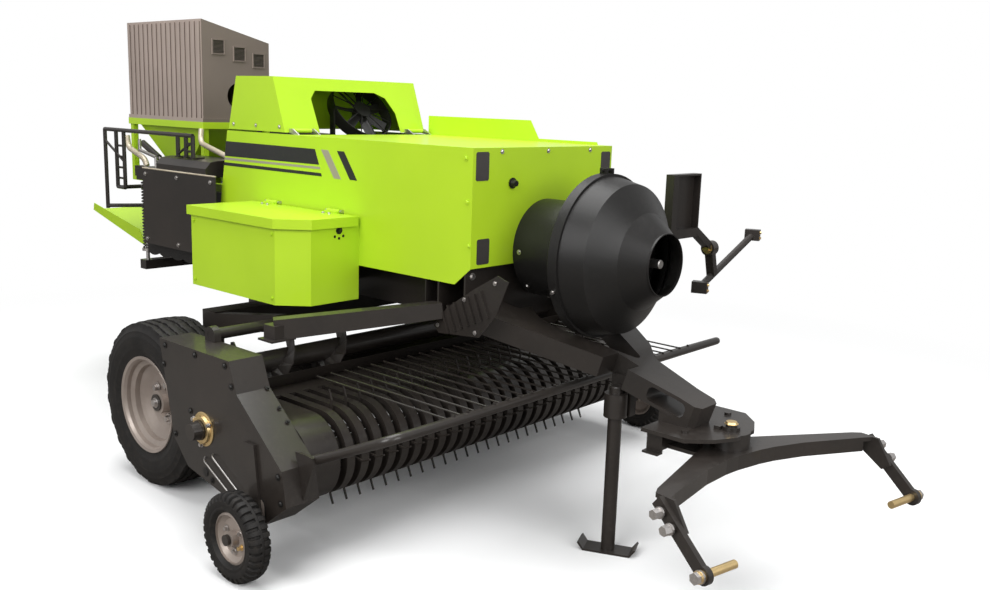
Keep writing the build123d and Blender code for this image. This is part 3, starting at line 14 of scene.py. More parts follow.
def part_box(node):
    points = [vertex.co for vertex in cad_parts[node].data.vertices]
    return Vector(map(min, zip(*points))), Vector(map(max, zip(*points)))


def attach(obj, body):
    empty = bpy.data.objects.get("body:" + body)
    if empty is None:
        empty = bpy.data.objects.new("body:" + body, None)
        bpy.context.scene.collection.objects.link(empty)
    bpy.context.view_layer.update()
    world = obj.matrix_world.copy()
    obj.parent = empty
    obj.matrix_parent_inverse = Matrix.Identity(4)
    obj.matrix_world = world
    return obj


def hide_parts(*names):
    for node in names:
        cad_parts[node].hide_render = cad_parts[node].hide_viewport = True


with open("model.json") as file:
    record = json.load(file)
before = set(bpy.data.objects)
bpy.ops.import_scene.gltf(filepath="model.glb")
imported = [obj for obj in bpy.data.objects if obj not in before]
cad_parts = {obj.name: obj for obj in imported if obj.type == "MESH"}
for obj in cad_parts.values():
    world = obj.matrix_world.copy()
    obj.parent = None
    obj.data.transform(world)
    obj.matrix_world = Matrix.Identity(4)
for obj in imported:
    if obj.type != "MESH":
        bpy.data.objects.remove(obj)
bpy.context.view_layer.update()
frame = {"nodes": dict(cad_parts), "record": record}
nodes = frame["nodes"]
link = bpy.context.scene.collection.objects.link

# %% [markdown]
# Lengths along the machine are easiest to read from the middle of its axle beam, as a fitter would measure
# them. The wheels trail that beam by 26 mm, so the tyre's box tells where the beam is in the stored model,
# and `at` turns a measured place into a place in the scene.

# %% Where to measure from
low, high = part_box("tyre_right")
TRAIL = 0.026
BEAM_X = (low.x + high.x) / 2 + TRAIL


def at(x, y, z):
    """A place in the scene, with x counted forwards from the axle beam."""
    return Vector((x + BEAM_X, y, z))


print("axle beam at x", round(BEAM_X, 4))

# %% [markdown]
# The camera stands where the photograph was taken: ahead of the machine on its right, at eye height, looking
# a little down and with a slight roll. Building the matrix from yaw, pitch and roll keeps those three angles
# readable, which a pasted matrix would hide.

# %% Camera
YAW, PITCH, ROLL = 2.298, 0.1909, -0.032
ahead = Vector((cos(PITCH) * cos(YAW), cos(PITCH) * sin(YAW), -sin(PITCH)))
level = Vector((sin(YAW), -cos(YAW), 0.0))
down = ahead.cross(level)
right = level * cos(ROLL) + down * sin(ROLL)
down = down * cos(ROLL) - level * sin(ROLL)
lens = bpy.data.cameras.new("camera")
lens.sensor_width = 36.0
lens.lens = 35.81
lens.clip_end = 100.0
camera = bpy.data.objects.new("camera", lens)
axes = Matrix((right, -down, -ahead)).transposed().to_4x4()
camera.matrix_world = Matrix.Translation(at(3.84, -3.12, 1.70)) @ axes
link(camera)
bpy.context.scene.camera = camera
bpy.context.scene.view_settings.view_transform = "Standard"
print("camera at", [round(v, 3) for v in camera.matrix_world.translation])

# %% [markdown]
# A small helper saves a lot of typing: it adds a shader node, fills its sockets, and wires any socket whose
# value is another node's output. Every material and node group below is written with it. Three more helpers
# name the steps that come up most: arithmetic, stretching a range, and mixing two colours.

# %% A short way to write shader nodes


def add(tree, kind, settings=None, **sockets):
    """A new node in the tree; a socket is named with _ for a space, and takes a value or an output."""
    node = tree.nodes.new(kind)
    for name, value in (settings or {}).items():
        setattr(node, name, value)
    for name, value in sockets.items():
        key = int(name[1:]) if name[1:].isdigit() and name[0] == "i" else name.replace("_", " ")
        if isinstance(value, bpy.types.NodeSocket):
            tree.links.new(value, node.inputs[key])
        else:
            node.inputs[key].default_value = value
    return node


def rgb(red, green, blue):
    """A linear colour with its alpha."""
    return (red, green, blue, 1.0)


def grouped(name, inputs, outputs):
    """An empty shader node group with named sockets: its tree, its input node and its output node."""
    tree = bpy.data.node_groups.new(name, "ShaderNodeTree")
    for label, kind, value in inputs:
        socket = tree.interface.new_socket(label, in_out="INPUT", socket_type=kind)
        socket.default_value = value
    for label, kind in outputs:
        tree.interface.new_socket(label, in_out="OUTPUT", socket_type=kind)
    return tree, tree.nodes.new("NodeGroupInput").outputs, tree.nodes.new("NodeGroupOutput")


def maths(tree, operation, *values, clamp=False):
    """The result of one step of arithmetic on outputs and numbers."""
    settings = {"operation": operation, "use_clamp": clamp}
    return add(tree, "ShaderNodeMath", settings, **{"i%d" % i: v for i, v in enumerate(values)}).outputs[0]


def remap(tree, value, low, high):
    """The value, with low to high stretched to 0 to 1."""
    return add(tree, "ShaderNodeMapRange", Value=value, From_Min=low, From_Max=high).outputs[0]


def blend(tree, share, first, second, how="MIX"):
    """Two colours mixed by a share."""
    return add(tree, "ShaderNodeMix", {"data_type": "RGBA", "blend_type": how}, Factor=share, i6=first,
               i7=second).outputs[2]


COLOUR, NUMBER, WHOLE = "NodeSocketColor", "NodeSocketFloat", "NodeSocketInt"
VECTOR, MATERIAL = "NodeSocketVector", "NodeSocketMaterial"
WHITE = rgb(1.0, 1.0, 1.0)
GIVES = [("Colour", COLOUR), ("Roughness", NUMBER), ("Height", NUMBER)]

# %% [markdown]
# Sprayed paint on a farm machine is never one flat colour. The film is a little uneven, fine specks of dust
# cling to it, a thin layer settles on whatever faces up, and the lowest parts are dulled by the field. All
# painted and moulded surfaces share that story, so it is told once, in a node group, and each material
# gives it its own colours and amounts.

# %% Film of paint
film, given, result = grouped(
    "film_of_paint",
    [("Colour", COLOUR, rgb(0.5, 0.5, 0.5)), ("Deep Colour", COLOUR, rgb(0.4, 0.4, 0.4)),
     ("Dust Colour", COLOUR, rgb(0.36, 0.31, 0.24)), ("Dust", NUMBER, 0.1), ("Drift Scale", NUMBER, 2.0),
     ("Grain Scale", NUMBER, 220.0), ("Rough", NUMBER, 0.35), ("Rough Spread", NUMBER, 0.12)],
    GIVES)
place = add(film, "ShaderNodeTexCoord").outputs["Object"]
drift = add(film, "ShaderNodeTexNoise", Vector=place, Scale=given["Drift Scale"], Detail=4.0, Roughness=0.55)
drift_mask = remap(film, drift.outputs["Fac"], 0.35, 0.66)
base = blend(film, drift_mask, given["Colour"], given["Deep Colour"])
specks = add(film, "ShaderNodeTexNoise", Vector=place, Scale=46.0, Detail=6.0, Roughness=0.7)
speck_mask = remap(film, specks.outputs["Fac"], 0.5, 0.78)
facing = add(film, "ShaderNodeSeparateXYZ", Vector=add(film, "ShaderNodeNewGeometry").outputs["Normal"])
upward = remap(film, facing.outputs["Z"], 0.3, 1.0)
height = add(film, "ShaderNodeSeparateXYZ", Vector=place)
near_ground = remap(film, height.outputs["Z"], 0.75, 0.0)
lying = maths(film, "MULTIPLY_ADD", maths(film, "MAXIMUM", upward, near_ground), 0.75, 0.25)
dust = maths(film, "MULTIPLY", maths(film, "MULTIPLY", lying, speck_mask), given["Dust"])
dusty = blend(film, dust, base, given["Dust Colour"])
grain = add(film, "ShaderNodeTexNoise", Vector=place, Scale=given["Grain Scale"], Detail=2.0)
rough_drift = maths(film, "MULTIPLY_ADD", drift.outputs["Fac"], given["Rough Spread"], given["Rough"])
rough = maths(film, "MULTIPLY_ADD", dust, 0.5, rough_drift, clamp=True)
film.links.new(dusty, result.inputs["Colour"])
film.links.new(rough, result.inputs["Roughness"])
film.links.new(grain.outputs["Fac"], result.inputs["Height"])
print("film of paint:", len(film.nodes), "nodes")

# %% [markdown]
# Zinc and rolled steel carry a different story: small crystals or rolling marks that catch the light a
# little differently from each other, and fingerprints that change the gloss more than the colour.

# %% Skin of metal
skin, given, result = grouped(
    "skin_of_metal",
    [("Colour", COLOUR, rgb(0.6, 0.6, 0.6)), ("Deep Colour", COLOUR, rgb(0.5, 0.5, 0.5)),
     ("Crystal Scale", NUMBER, 300.0), ("Rough", NUMBER, 0.3), ("Rough Spread", NUMBER, 0.25)],
    GIVES)
place = add(skin, "ShaderNodeTexCoord").outputs["Object"]
crystals = add(skin, "ShaderNodeTexVoronoi", Vector=place, Scale=given["Crystal Scale"])
tone = add(skin, "ShaderNodeSeparateColor", Color=crystals.outputs["Color"])
cloud = add(skin, "ShaderNodeTexNoise", Vector=place, Scale=22.0, Detail=5.0)
shift = maths(skin, "MULTIPLY_ADD", tone.outputs[0], 0.45, maths(skin, "MULTIPLY", cloud.outputs["Fac"], 0.55))
mixed = blend(skin, shift, given["Colour"], given["Deep Colour"])
gloss = maths(skin, "MULTIPLY_ADD", cloud.outputs["Fac"], given["Rough Spread"], given["Rough"], clamp=True)
skin.links.new(mixed, result.inputs["Colour"])
skin.links.new(gloss, result.inputs["Roughness"])
skin.links.new(cloud.outputs["Fac"], result.inputs["Height"])
print("skin of metal:", len(skin.nodes), "nodes")

# %% [markdown]
# Both groups put out the same three things, so one function can place either in a material and join it to
# the shader. Bump is kept shallow: paint is smooth at arm's length, and moulded plastic shows its grain.

# %% Make a material from a group


def finish(name, group, bump, colour, deep, metal=0.0, coat=0.0, specular=0.5, **values):
    """A material whose colour, roughness and bump come from the group, filled with the given values."""
    values.update(Colour=rgb(*colour), Deep_Colour=rgb(*deep))
    material = bpy.data.materials.new(name)
    material.use_nodes = True
    tree = material.node_tree
    shader = tree.nodes["Principled BSDF"]
    source = add(tree, "ShaderNodeGroup", {"node_tree": group})
    for label, value in values.items():
        source.inputs[label.replace("_", " ")].default_value = value
    relief = add(tree, "ShaderNodeBump", Strength=bump, Distance=0.0015, Height=source.outputs["Height"])
    for output, socket in ((source.outputs["Colour"], "Base Color"), (source.outputs["Roughness"], "Roughness"),
                           (relief.outputs["Normal"], "Normal")):
        tree.links.new(output, shader.inputs[socket])
    for socket, value in (("Metallic", metal), ("Coat Weight", coat), ("Coat Roughness", 0.12),
                          ("Specular IOR Level", specular)):
        shader.inputs[socket].default_value = value
    return material


# %% [markdown]
# The finishes of this machine, one row each: bright yellow-green gloss on the body sheets, warm black powder
# paint on the frame and pickup, grained black plastic for the shields, warm grey paint on the rims, plated
# fasteners, and the taupe sheet of the dust bin. Each row names the colour in full light and a deeper one
# that drifts through it. The bin's forward-facing sheet carries painted shade: its colour is darkened by
# which way the sheet faces, so that it looks darker than the ribbed sides.

# %% Finishes for each slot of the construction
finishes = {}
for name, group, bump, colour, deep, more in [
        ("green_paint", film, 0.05, (0.49, 0.74, 0.024), (0.43, 0.67, 0.019),
         dict(coat=0.25, specular=0.4, Dust=0.16, Drift_Scale=1.3, Rough=0.32, Grain_Scale=420.0,
              Dust_Colour=rgb(0.55, 0.6, 0.22))),
        ("dark_paint", film, 0.12, (0.028, 0.0225, 0.019), (0.0185, 0.0155, 0.0135),
         dict(coat=0.3, specular=0.4, Dust=0.3, Drift_Scale=3.0, Rough=0.33, Grain_Scale=300.0,
              Dust_Colour=rgb(0.085, 0.074, 0.062))),
        ("black_plastic", film, 0.2, (0.0135, 0.0125, 0.012), (0.0095, 0.009, 0.0085),
         dict(specular=0.32, Dust=0.2, Drift_Scale=4.0, Rough=0.3, Grain_Scale=700.0,
              Dust_Colour=rgb(0.06, 0.054, 0.048))),
        ("tyre", film, 0.5, (0.0135, 0.0122, 0.0115), (0.009, 0.0082, 0.0078),
         dict(specular=0.3, Dust=0.4, Drift_Scale=9.0, Rough=0.5, Rough_Spread=0.2, Grain_Scale=260.0,
              Dust_Colour=rgb(0.085, 0.07, 0.056))),
        ("rim_grey", film, 0.1, (0.40, 0.34, 0.30), (0.30, 0.25, 0.22),
         dict(metal=0.35, coat=0.2, Dust=0.35, Drift_Scale=6.0, Rough=0.3)),
        ("bright_zinc", skin, 0.15, (0.68, 0.65, 0.63), (0.46, 0.44, 0.43), dict(metal=1.0, Rough=0.26)),
        ("gold_zinc", skin, 0.15, (0.93, 0.69, 0.34), (0.72, 0.54, 0.27), dict(metal=1.0, Rough=0.24)),
        ("bright_steel", skin, 0.3, (0.5, 0.49, 0.48), (0.36, 0.34, 0.32),
         dict(metal=1.0, Crystal_Scale=900.0, Rough=0.28)),
        ("bin_grey", film, 0.08, (0.41, 0.335, 0.295), (0.355, 0.29, 0.255),
         dict(Dust=0.12, Drift_Scale=2.0, Rough=0.5, Grain_Scale=500.0)),
        ("cast_block", film, 0.9, (0.05, 0.048, 0.046), (0.035, 0.033, 0.032),
         dict(Dust=0.4, Rough=0.55, Grain_Scale=160.0))]:
    finishes[name] = finish(name, group, bump, colour, deep, **more)
# Painted shade: where the bin's sheet faces forward, its colour is multiplied darker.
tree = finishes["bin_grey"].node_tree
shader = tree.nodes["Principled BSDF"]
sheet = shader.inputs["Base Color"].links[0].from_socket
turned = add(tree, "ShaderNodeSeparateXYZ", Vector=add(tree, "ShaderNodeNewGeometry").outputs["Normal"])
painted_front_shade = remap(tree, turned.outputs["X"], 0.5, 0.9)
tree.links.new(blend(tree, painted_front_shade, sheet, rgb(0.44, 0.43, 0.42), "MULTIPLY"), shader.inputs["Base Color"])
for part in frame["record"]["subparts"]:
    node = nodes[part["node"]]
    node.data.materials.clear()
    node.data.materials.append(finishes[part["material_slot"]])
print("finishes:", ", ".join(finishes))

# %% [markdown]
# A few finishes belong to no node of the construction: the printed films of the stripes, the plain dark
# plates, the cream pipes at the rear and the dark slats of the vents. They come from the same two groups.

# %% Finishes for the added pieces
stripe_black = finish("stripe_black", film, 0.03, (0.022, 0.022, 0.022), (0.016, 0.016, 0.017), coat=0.3,
                      Dust=0.1, Rough=0.3)
stripe_silver = finish("stripe_silver", film, 0.05, (0.50, 0.455, 0.38), (0.42, 0.38, 0.315), metal=0.4,
                       coat=0.3, Dust=0.1, Rough=0.32, Grain_Scale=900.0)
plain_plate = finish("plain_plate", film, 0.05, (0.055, 0.05, 0.047), (0.04, 0.037, 0.035), coat=0.2, Dust=0.15,
                     Rough=0.34)
cream_pipe = finish("cream_pipe", film, 0.1, (0.68, 0.6, 0.46), (0.52, 0.45, 0.34), metal=0.4, Dust=0.25,
                    Drift_Scale=9.0, Rough=0.34)
vent_mesh = finish("vent_mesh", skin, 0.2, (0.09, 0.082, 0.074), (0.05, 0.046, 0.042), metal=0.8, Rough=0.42)
print("added finishes ready")

# %% [markdown]
# The studio is a pale sweep. The world is white to the camera and gives a softer light to everything else.
# The floor takes the machine's shadow near its middle and fades to pure white further out, where the fade is
# read from the floor's own coordinates, so it stays put for every camera. To the machine itself the floor is
# a dull grey: a workshop floor throws little light up, and the low dark paint of the pickup would look
# bleached over a white one.

# %% World and floor
world = bpy.data.worlds.new("studio")
bpy.context.scene.world = world
world.use_nodes = True
tree = world.node_tree
tree.nodes.clear()
ray = add(tree, "ShaderNodeLightPath")
seen = maths(tree, "MAXIMUM", ray.outputs["Is Camera Ray"], ray.outputs["Is Transmission Ray"])
ambient = add(tree, "ShaderNodeBackground", Color=rgb(0.97, 0.985, 1.0), Strength=0.36)
backdrop = add(tree, "ShaderNodeBackground", Color=WHITE, Strength=1.0)
mirrored_sky = add(tree, "ShaderNodeBackground", Color=WHITE, Strength=0.55)
gleam = add(tree, "ShaderNodeMixShader", i0=ray.outputs["Is Glossy Ray"], i1=ambient.outputs[0],
            i2=mirrored_sky.outputs[0])
sky = add(tree, "ShaderNodeMixShader", i0=seen, i1=gleam.outputs[0], i2=backdrop.outputs[0])
add(tree, "ShaderNodeOutputWorld", Surface=sky.outputs[0])

floor_paint = bpy.data.materials.new("floor_sweep")
floor_paint.use_nodes = True
tree = floor_paint.node_tree
tree.nodes.clear()
spot = add(tree, "ShaderNodeTexCoord").outputs["Object"]
reach = add(tree, "ShaderNodeVectorMath", {"operation": "LENGTH"}, i0=spot)
fade = add(tree, "ShaderNodeMapRange", {"interpolation_type": "SMOOTHSTEP"}, Value=reach.outputs["Value"],
           From_Min=2.6, From_Max=5.2)
matt = add(tree, "ShaderNodeBsdfDiffuse", Color=rgb(0.96, 0.96, 0.96))
glow = add(tree, "ShaderNodeEmission", Color=WHITE, Strength=1.0)
ray = add(tree, "ShaderNodeLightPath")
shown = add(tree, "ShaderNodeMixShader", i0=fade.outputs[0], i1=matt.outputs[0], i2=glow.outputs[0])
dull = add(tree, "ShaderNodeBsdfDiffuse", Color=rgb(0.24, 0.225, 0.21))
sweep = add(tree, "ShaderNodeMixShader", i0=ray.outputs["Is Camera Ray"], i1=dull.outputs[0],
            i2=shown.outputs[0])
add(tree, "ShaderNodeOutputMaterial", Surface=sweep.outputs[0])

EDGE = 40.0
floor_mesh = bpy.data.meshes.new("floor")
corners = [(-EDGE, -EDGE, 0), (EDGE, -EDGE, 0), (EDGE, EDGE, 0), (-EDGE, EDGE, 0)]
floor_mesh.from_pydata(corners, [], [(0, 1, 2, 3)])
floor_mesh.materials.append(floor_paint)
floor = bpy.data.objects.new("floor", floor_mesh)
link(floor)
print("floor", 2 * EDGE, "m across")

# %% [markdown]
# Three large square lamps light the machine as the photograph shows it: the main one from the machine's
# right and above, a weaker one ahead for the front panel and the hitch, and a wide one overhead.

# %% Lamps


def lamp(name, spot, aim, size, power):
    """A soft square lamp at a spot, turned to what it lights."""
    light = bpy.data.lights.new(name, "AREA")
    light.shape = "SQUARE"
    light.size = size
    light.energy = power
    holder = bpy.data.objects.new(name, light)
    holder.location = spot
    holder.rotation_euler = (Vector(aim) - Vector(spot)).to_track_quat("-Z", "Y").to_euler()
    link(holder)


lamp("key", (1.5, -6.5, 4.5), (0, 0, 0.8), 4.5, 330)
lamp("front", (6.5, -1.0, 3.5), (0, 0, 0.8), 4.0, 185)
lamp("overhead", (-0.5, 0.0, 7.0), (0, 0, 0.8), 6.0, 500)
print("three lamps")

# %% [markdown]
# Whatever repeats is made by Geometry Nodes: the tree says the rule once, and each use gives its own sizes.
# `grow` runs a tree on a carrier mesh, keeps the result as a plain mesh, names the body that it rides on and
# the slot whose finish it shares, and throws the carrier away. A piece gets its slot's finish unless a
# material is given.

# %% Run a tree and keep its mesh


def geometry_tree(name, inputs):
    """An empty geometry tree with a geometry socket and the named inputs."""
    tree = bpy.data.node_groups.new(name, "GeometryNodeTree")
    tree.interface.new_socket("Geometry", in_out="INPUT", socket_type="NodeSocketGeometry")
    for label, kind in inputs:
        tree.interface.new_socket(label, in_out="INPUT", socket_type=kind)
    tree.interface.new_socket("Geometry", in_out="OUTPUT", socket_type="NodeSocketGeometry")
    return tree, tree.nodes.new("NodeGroupInput").outputs, tree.nodes.new("NodeGroupOutput")


def put_out(tree, geometry, given, result):
    """Make a tree's instances real, give them their material and put them out."""
    solid = add(tree, "GeometryNodeRealizeInstances", Geometry=geometry)
    named = add(tree, "GeometryNodeSetMaterial", Geometry=solid.outputs[0], Material=given["Material"])
    tree.links.new(named.outputs[0], result.inputs[0])


def drawn(name, points, faces):
    """A mesh from its points and faces."""
    mesh = bpy.data.meshes.new(name)
    mesh.from_pydata(points, [], faces)
    return mesh


def kept(name, holder):
    """The shape of an object as a plain mesh; the object itself is thrown away."""
    link(holder)
    graph = bpy.context.evaluated_depsgraph_get()
    mesh = bpy.data.meshes.new_from_object(holder.evaluated_get(graph), depsgraph=graph)
    mesh.name = name
    bpy.data.objects.remove(holder)
    return mesh


def settle(name, mesh, body, slot, material=None):
    """A finished mesh as a piece that rides on a body."""
    if not len(mesh.materials):
        mesh.materials.append(material or finishes[slot])
    piece = bpy.data.objects.new(name, mesh)
    link(piece)
    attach(piece, body)
    return piece


def grow(name, body, slot, tree, carrier_mesh, **values):
    """The tree's result on a carrier mesh, as a piece."""
    values.setdefault("Material", finishes[slot])
    carrier = bpy.data.objects.new(name + "_carrier", carrier_mesh)
    modifier = carrier.modifiers.new("grow", "NODES")
    modifier.node_group = tree
    sockets = {item.name: item.identifier for item in tree.interface.items_tree
               if item.item_type == "SOCKET" and item.in_out == "INPUT"}
    for label, value in values.items():
        modifier[sockets[label.replace("_", " ")]] = value
    return settle(name, kept(name, carrier), body, slot)


# %% [markdown]
# Bolts, nuts and screws are the same thing to this scene: a short tapered head, six-sided or round, on a
# thin washer, standing on a surface and turned as it happened to be tightened. The carrier's points say
# where, and an attribute called aim says which way each one points.

# %% Fasteners
fasteners, given, result = geometry_tree("fasteners", [
    ("Radius", NUMBER), ("Height", NUMBER), ("Taper", NUMBER), ("Sides", WHOLE), ("Washer", NUMBER),
    ("Material", MATERIAL)])
tip = maths(fasteners, "MULTIPLY", given["Radius"], given["Taper"])
head = add(fasteners, "GeometryNodeMeshCone", {"fill_type": "NGON"}, Vertices=given["Sides"], Radius_Top=tip,
           Radius_Bottom=given["Radius"], Depth=given["Height"])
wide = maths(fasteners, "MULTIPLY", given["Radius"], given["Washer"])
thin = maths(fasteners, "MULTIPLY", given["Height"], 0.22)
washer = add(fasteners, "GeometryNodeMeshCylinder", {"fill_type": "NGON"}, Vertices=14, Radius=wide, Depth=thin)
one = add(fasteners, "GeometryNodeJoinGeometry")
fasteners.links.new(head.outputs["Mesh"], one.inputs[0])
fasteners.links.new(washer.outputs["Mesh"], one.inputs[0])
aim = add(fasteners, "GeometryNodeInputNamedAttribute", {"data_type": "FLOAT_VECTOR"}, Name="aim")
stand = add(fasteners, "FunctionNodeAlignRotationToVector", {"axis": "Z"}, Vector=aim.outputs[0])
spread = add(fasteners, "GeometryNodeInstanceOnPoints", Points=given["Geometry"],
             Instance=one.outputs[0], Rotation=stand.outputs[0])
turn = add(fasteners, "FunctionNodeRandomValue", {"data_type": "FLOAT"}, Seed=7)
turn.inputs[3].default_value = 2 * pi
turn_vector = add(fasteners, "ShaderNodeCombineXYZ", Z=turn.outputs[1])
turned = add(fasteners, "GeometryNodeRotateInstances", Instances=spread.outputs[0],
             Rotation=turn_vector.outputs[0])
put_out(fasteners, turned.outputs[0], given, result)


def bolts(name, body, slot, places, radius, height, sides=6, taper=0.93, washer=1.5):
    """Fasteners at the given (place, direction) pairs."""
    mesh = drawn(name + "_points", [tuple(spot) for spot, direction in places], [])
    attribute = mesh.attributes.new("aim", "FLOAT_VECTOR", "POINT")
    attribute.data.foreach_set("vector", [c for spot, direction in places for c in direction])
    return grow(name, body, slot, fasteners, mesh, Radius=radius, Height=height, Taper=taper, Sides=sides,
                Washer=washer)


RIGHT, LEFT, FRONT, UP = (0, -1, 0), (0, 1, 0), (1, 0, 0), (0, 0, 1)
SIDES = (("right", -1, RIGHT), ("left", 1, LEFT))
print("fasteners: one tree for bolts, nuts and screws")

# %% [markdown]
# A main tyre of an implement like this has long ribs round it, split by zigzag grooves and short sipes, and
# rounded sides with a few moulded rings. It is a turned shape, so its outline is listed once from bead to
# bead and swept round the axle; a small rule then sinks the sipes and bends the grooves. That gives the
# tread in the mesh itself and stays far lighter than cutting it.

# %% Turned tyres


def turned_piece(name, body, slot, centre, outline, steps, shape=None):
    """A closed ring turned about Y from (y, radius, tag) points; shape may move a point at a step."""
    points, faces = [], []
    for i in range(steps):
        angle = 2 * pi * i / steps
        for y, radius, tag in outline:
            dy, dr = shape(i, y, tag) if shape else (0.0, 0.0)
            points.append(centre + Vector((cos(angle) * (radius + dr), y + dy, sin(angle) * (radius + dr))))
    count = len(outline)
    for i in range(steps):
        for j in range(count):
            a, b = i * count + j, i * count + (j + 1) % count
            c, d = (i + 1) % steps * count + (j + 1) % count, (i + 1) % steps * count + j
            faces.append((a, d, c, b))
    mesh = drawn(name, points, faces)
    mesh.shade_smooth()
    mesh.set_sharp_from_angle(angle=radians(32))
    return settle(name, mesh, body, slot)


TYRE_R, TYRE_W, TYRE_Y = 0.366, 0.256, 0.928
side = [(0.1072, 0.2055), (0.1118, 0.213), (0.1128, 0.222), (0.1165, 0.231), (0.1178, 0.236), (0.1222, 0.245),
        (0.1243, 0.252), (0.1240, 0.256), (0.1262, 0.268), (0.1274, 0.279), (0.1278, 0.288), (0.1272, 0.297),
        (0.1276, 0.300), (0.1262, 0.304), (0.1245, 0.314), (0.1222, 0.3225), (0.1226, 0.3255), (0.1192, 0.331),
        (0.1152, 0.3385)]
ribs = [(0.43, 0.34, TYRE_R - 0.006), (0.31, 0.20, TYRE_R - 0.002), (0.16, 0.03, TYRE_R)]
half = [(y, radius, "side") for y, radius in side]
for outer, inner, radius in ribs:
    y0, y1 = outer * TYRE_W, inner * TYRE_W
    half += [(y0, radius - 0.009, "groove"), (y0 - 0.001, radius - 0.001, "edge"), (y0 - 0.003, radius, "edge"),
             ((y0 + y1) / 2 + 0.005, radius, "rib"), ((y0 + y1) / 2 - 0.005, radius, "rib"),
             (y1 + 0.003, radius, "edge"), (y1 + 0.001, radius - 0.001, "edge"), (y1, radius - 0.009, "groove")]
whole = half + [(-y, radius, tag) for y, radius, tag in reversed(half)]
inside = [(-0.1, 0.2055, "bead"), (0.1, 0.2055, "bead")]


def ribbed(step, y, tag):
    """Zigzag of the grooves and the sipes at the ribs' edges."""
    zigzag = abs((step % 12) - 6) / 6 - 0.5
    if tag in ("edge", "groove"):
        sipe = -0.0045 if tag == "edge" and step % 6 == (0 if y > 0 else 3) else 0.0
        return zigzag * 0.006, sipe
    return 0.0, 0.0


for side_name, sign, out in SIDES:
    tyre = turned_piece("main_tyre_" + side_name, "wheel_" + side_name, "tyre",
                        at(-TRAIL, sign * TYRE_Y, TYRE_R), whole + inside, 264, ribbed)
    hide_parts("tyre_" + side_name)
print("main tyre:", len(tyre.data.polygons), "faces")

# %% [markdown]
# The small gauge wheels run on chunky tyres whose lugs reach over the shoulder, first from one side and then
# from the other. The same turning function does it: points tagged lug sink to the carcass between lugs.

# %% Gauge wheel tyres
GAUGE_X, GAUGE_Y, GAUGE_R, LUGS, LUG_STEPS = 1.004, 1.272, 0.165, 34, 8
section = [(0.0252, 0.0956), (0.031, 0.1), (0.0395, 0.108), (0.0405, 0.113), (0.0392, 0.117), (0.0412, 0.124),
           (0.0418, 0.132)]
half = [(y, radius, "side") for y, radius in section]
half += [(0.0417, 0.139, "low"), (0.0404, 0.148, "lug"), (0.037, 0.1555, "lug"), (0.032, 0.1608, "lug"),
         (0.024, 0.1636, "lug"), (0.014, 0.1648, "lug"), (0.006, 0.165, "lug"), (0.0045, 0.165, "mid")]
whole = half + [(-y, radius, tag) for y, radius, tag in reversed(half)]
inside = [(-0.024, 0.0955, "bead"), (0.024, 0.0955, "bead")]


def lugged(step, y, tag):
    """Sink the gaps between lugs; the two rows are half a lug apart."""
    shift = step + (4 if y > 0 else 0)
    gap = shift % LUG_STEPS in (5, 6, 7)
    if tag == "lug" and gap:
        return (-0.004 if y > 0 else 0.004) * (abs(y) > 0.03), -0.0085
    if tag == "mid":
        return 0.0, -0.003
    return 0.0, 0.0


for side_name, sign, out in SIDES:
    tyre = turned_piece("gauge_tyre_lugs_" + side_name, "gauge_wheel_" + side_name, "tyre",
                        at(GAUGE_X, sign * GAUGE_Y, GAUGE_R), whole + inside, LUGS * LUG_STEPS, lugged)
    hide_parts("gauge_tyre_" + side_name)
print("gauge tyre:", len(tyre.data.polygons), "faces")

# %% [markdown]
# Wheel nuts, a grease cap and a valve make a rim look used. The nuts sit on the studs of the construction,
# so their circle and count are the same as there.

# %% Nuts and caps of the wheels


def circle_places(centre, y, radius, count, direction, start=0.0):
    """Places on a circle round an axle along Y, all pointing the same way."""
    turns = [start + 2 * pi * i / count for i in range(count)]
    return [(at(centre[0] + radius * cos(a), y, centre[1] + radius * sin(a)), direction) for a in turns]


for side_name, sign, out in SIDES:
    bolts("wheel_nuts_" + side_name, "wheel_" + side_name, "bright_zinc",
          circle_places((-TRAIL, TYRE_R), sign * (TYRE_Y + 0.024), 0.080, 5, out), 0.0155, 0.016)
    bolts("grease_cap_" + side_name, "chassis", "bright_zinc", [(at(-TRAIL, sign * 0.999, TYRE_R), out)],
          0.019, 0.012, sides=20, taper=0.8, washer=1.2)
    face = sign * (GAUGE_Y + 0.011)
    bolts("gauge_nuts_" + side_name, "gauge_wheel_" + side_name, "bright_zinc",
          circle_places((GAUGE_X, GAUGE_R), face, 0.050, 3, out, 0.6), 0.0085, 0.010)
    bolts("gauge_valve_" + side_name, "gauge_wheel_" + side_name, "gold_zinc",
          circle_places((GAUGE_X, GAUGE_R), face, 0.052, 1, out, -0.45), 0.0075, 0.016, sides=12)
    bolts("gauge_axle_nut_" + side_name, "pickup", "bright_zinc",
          [(at(GAUGE_X, sign * 1.3135, GAUGE_R), out)], 0.0125, 0.006, washer=1.2)
print("wheels have their nuts")

# %% [markdown]
# The stripes are printed film on the two side panels: a broad black band that ends in a slant, a silver and
# a black line below it, and two slanted bars. Film has almost no thickness, so each is a plate 0.8 mm thick
# on the sheet's outer face, drawn as a side outline.

# %% Stripes


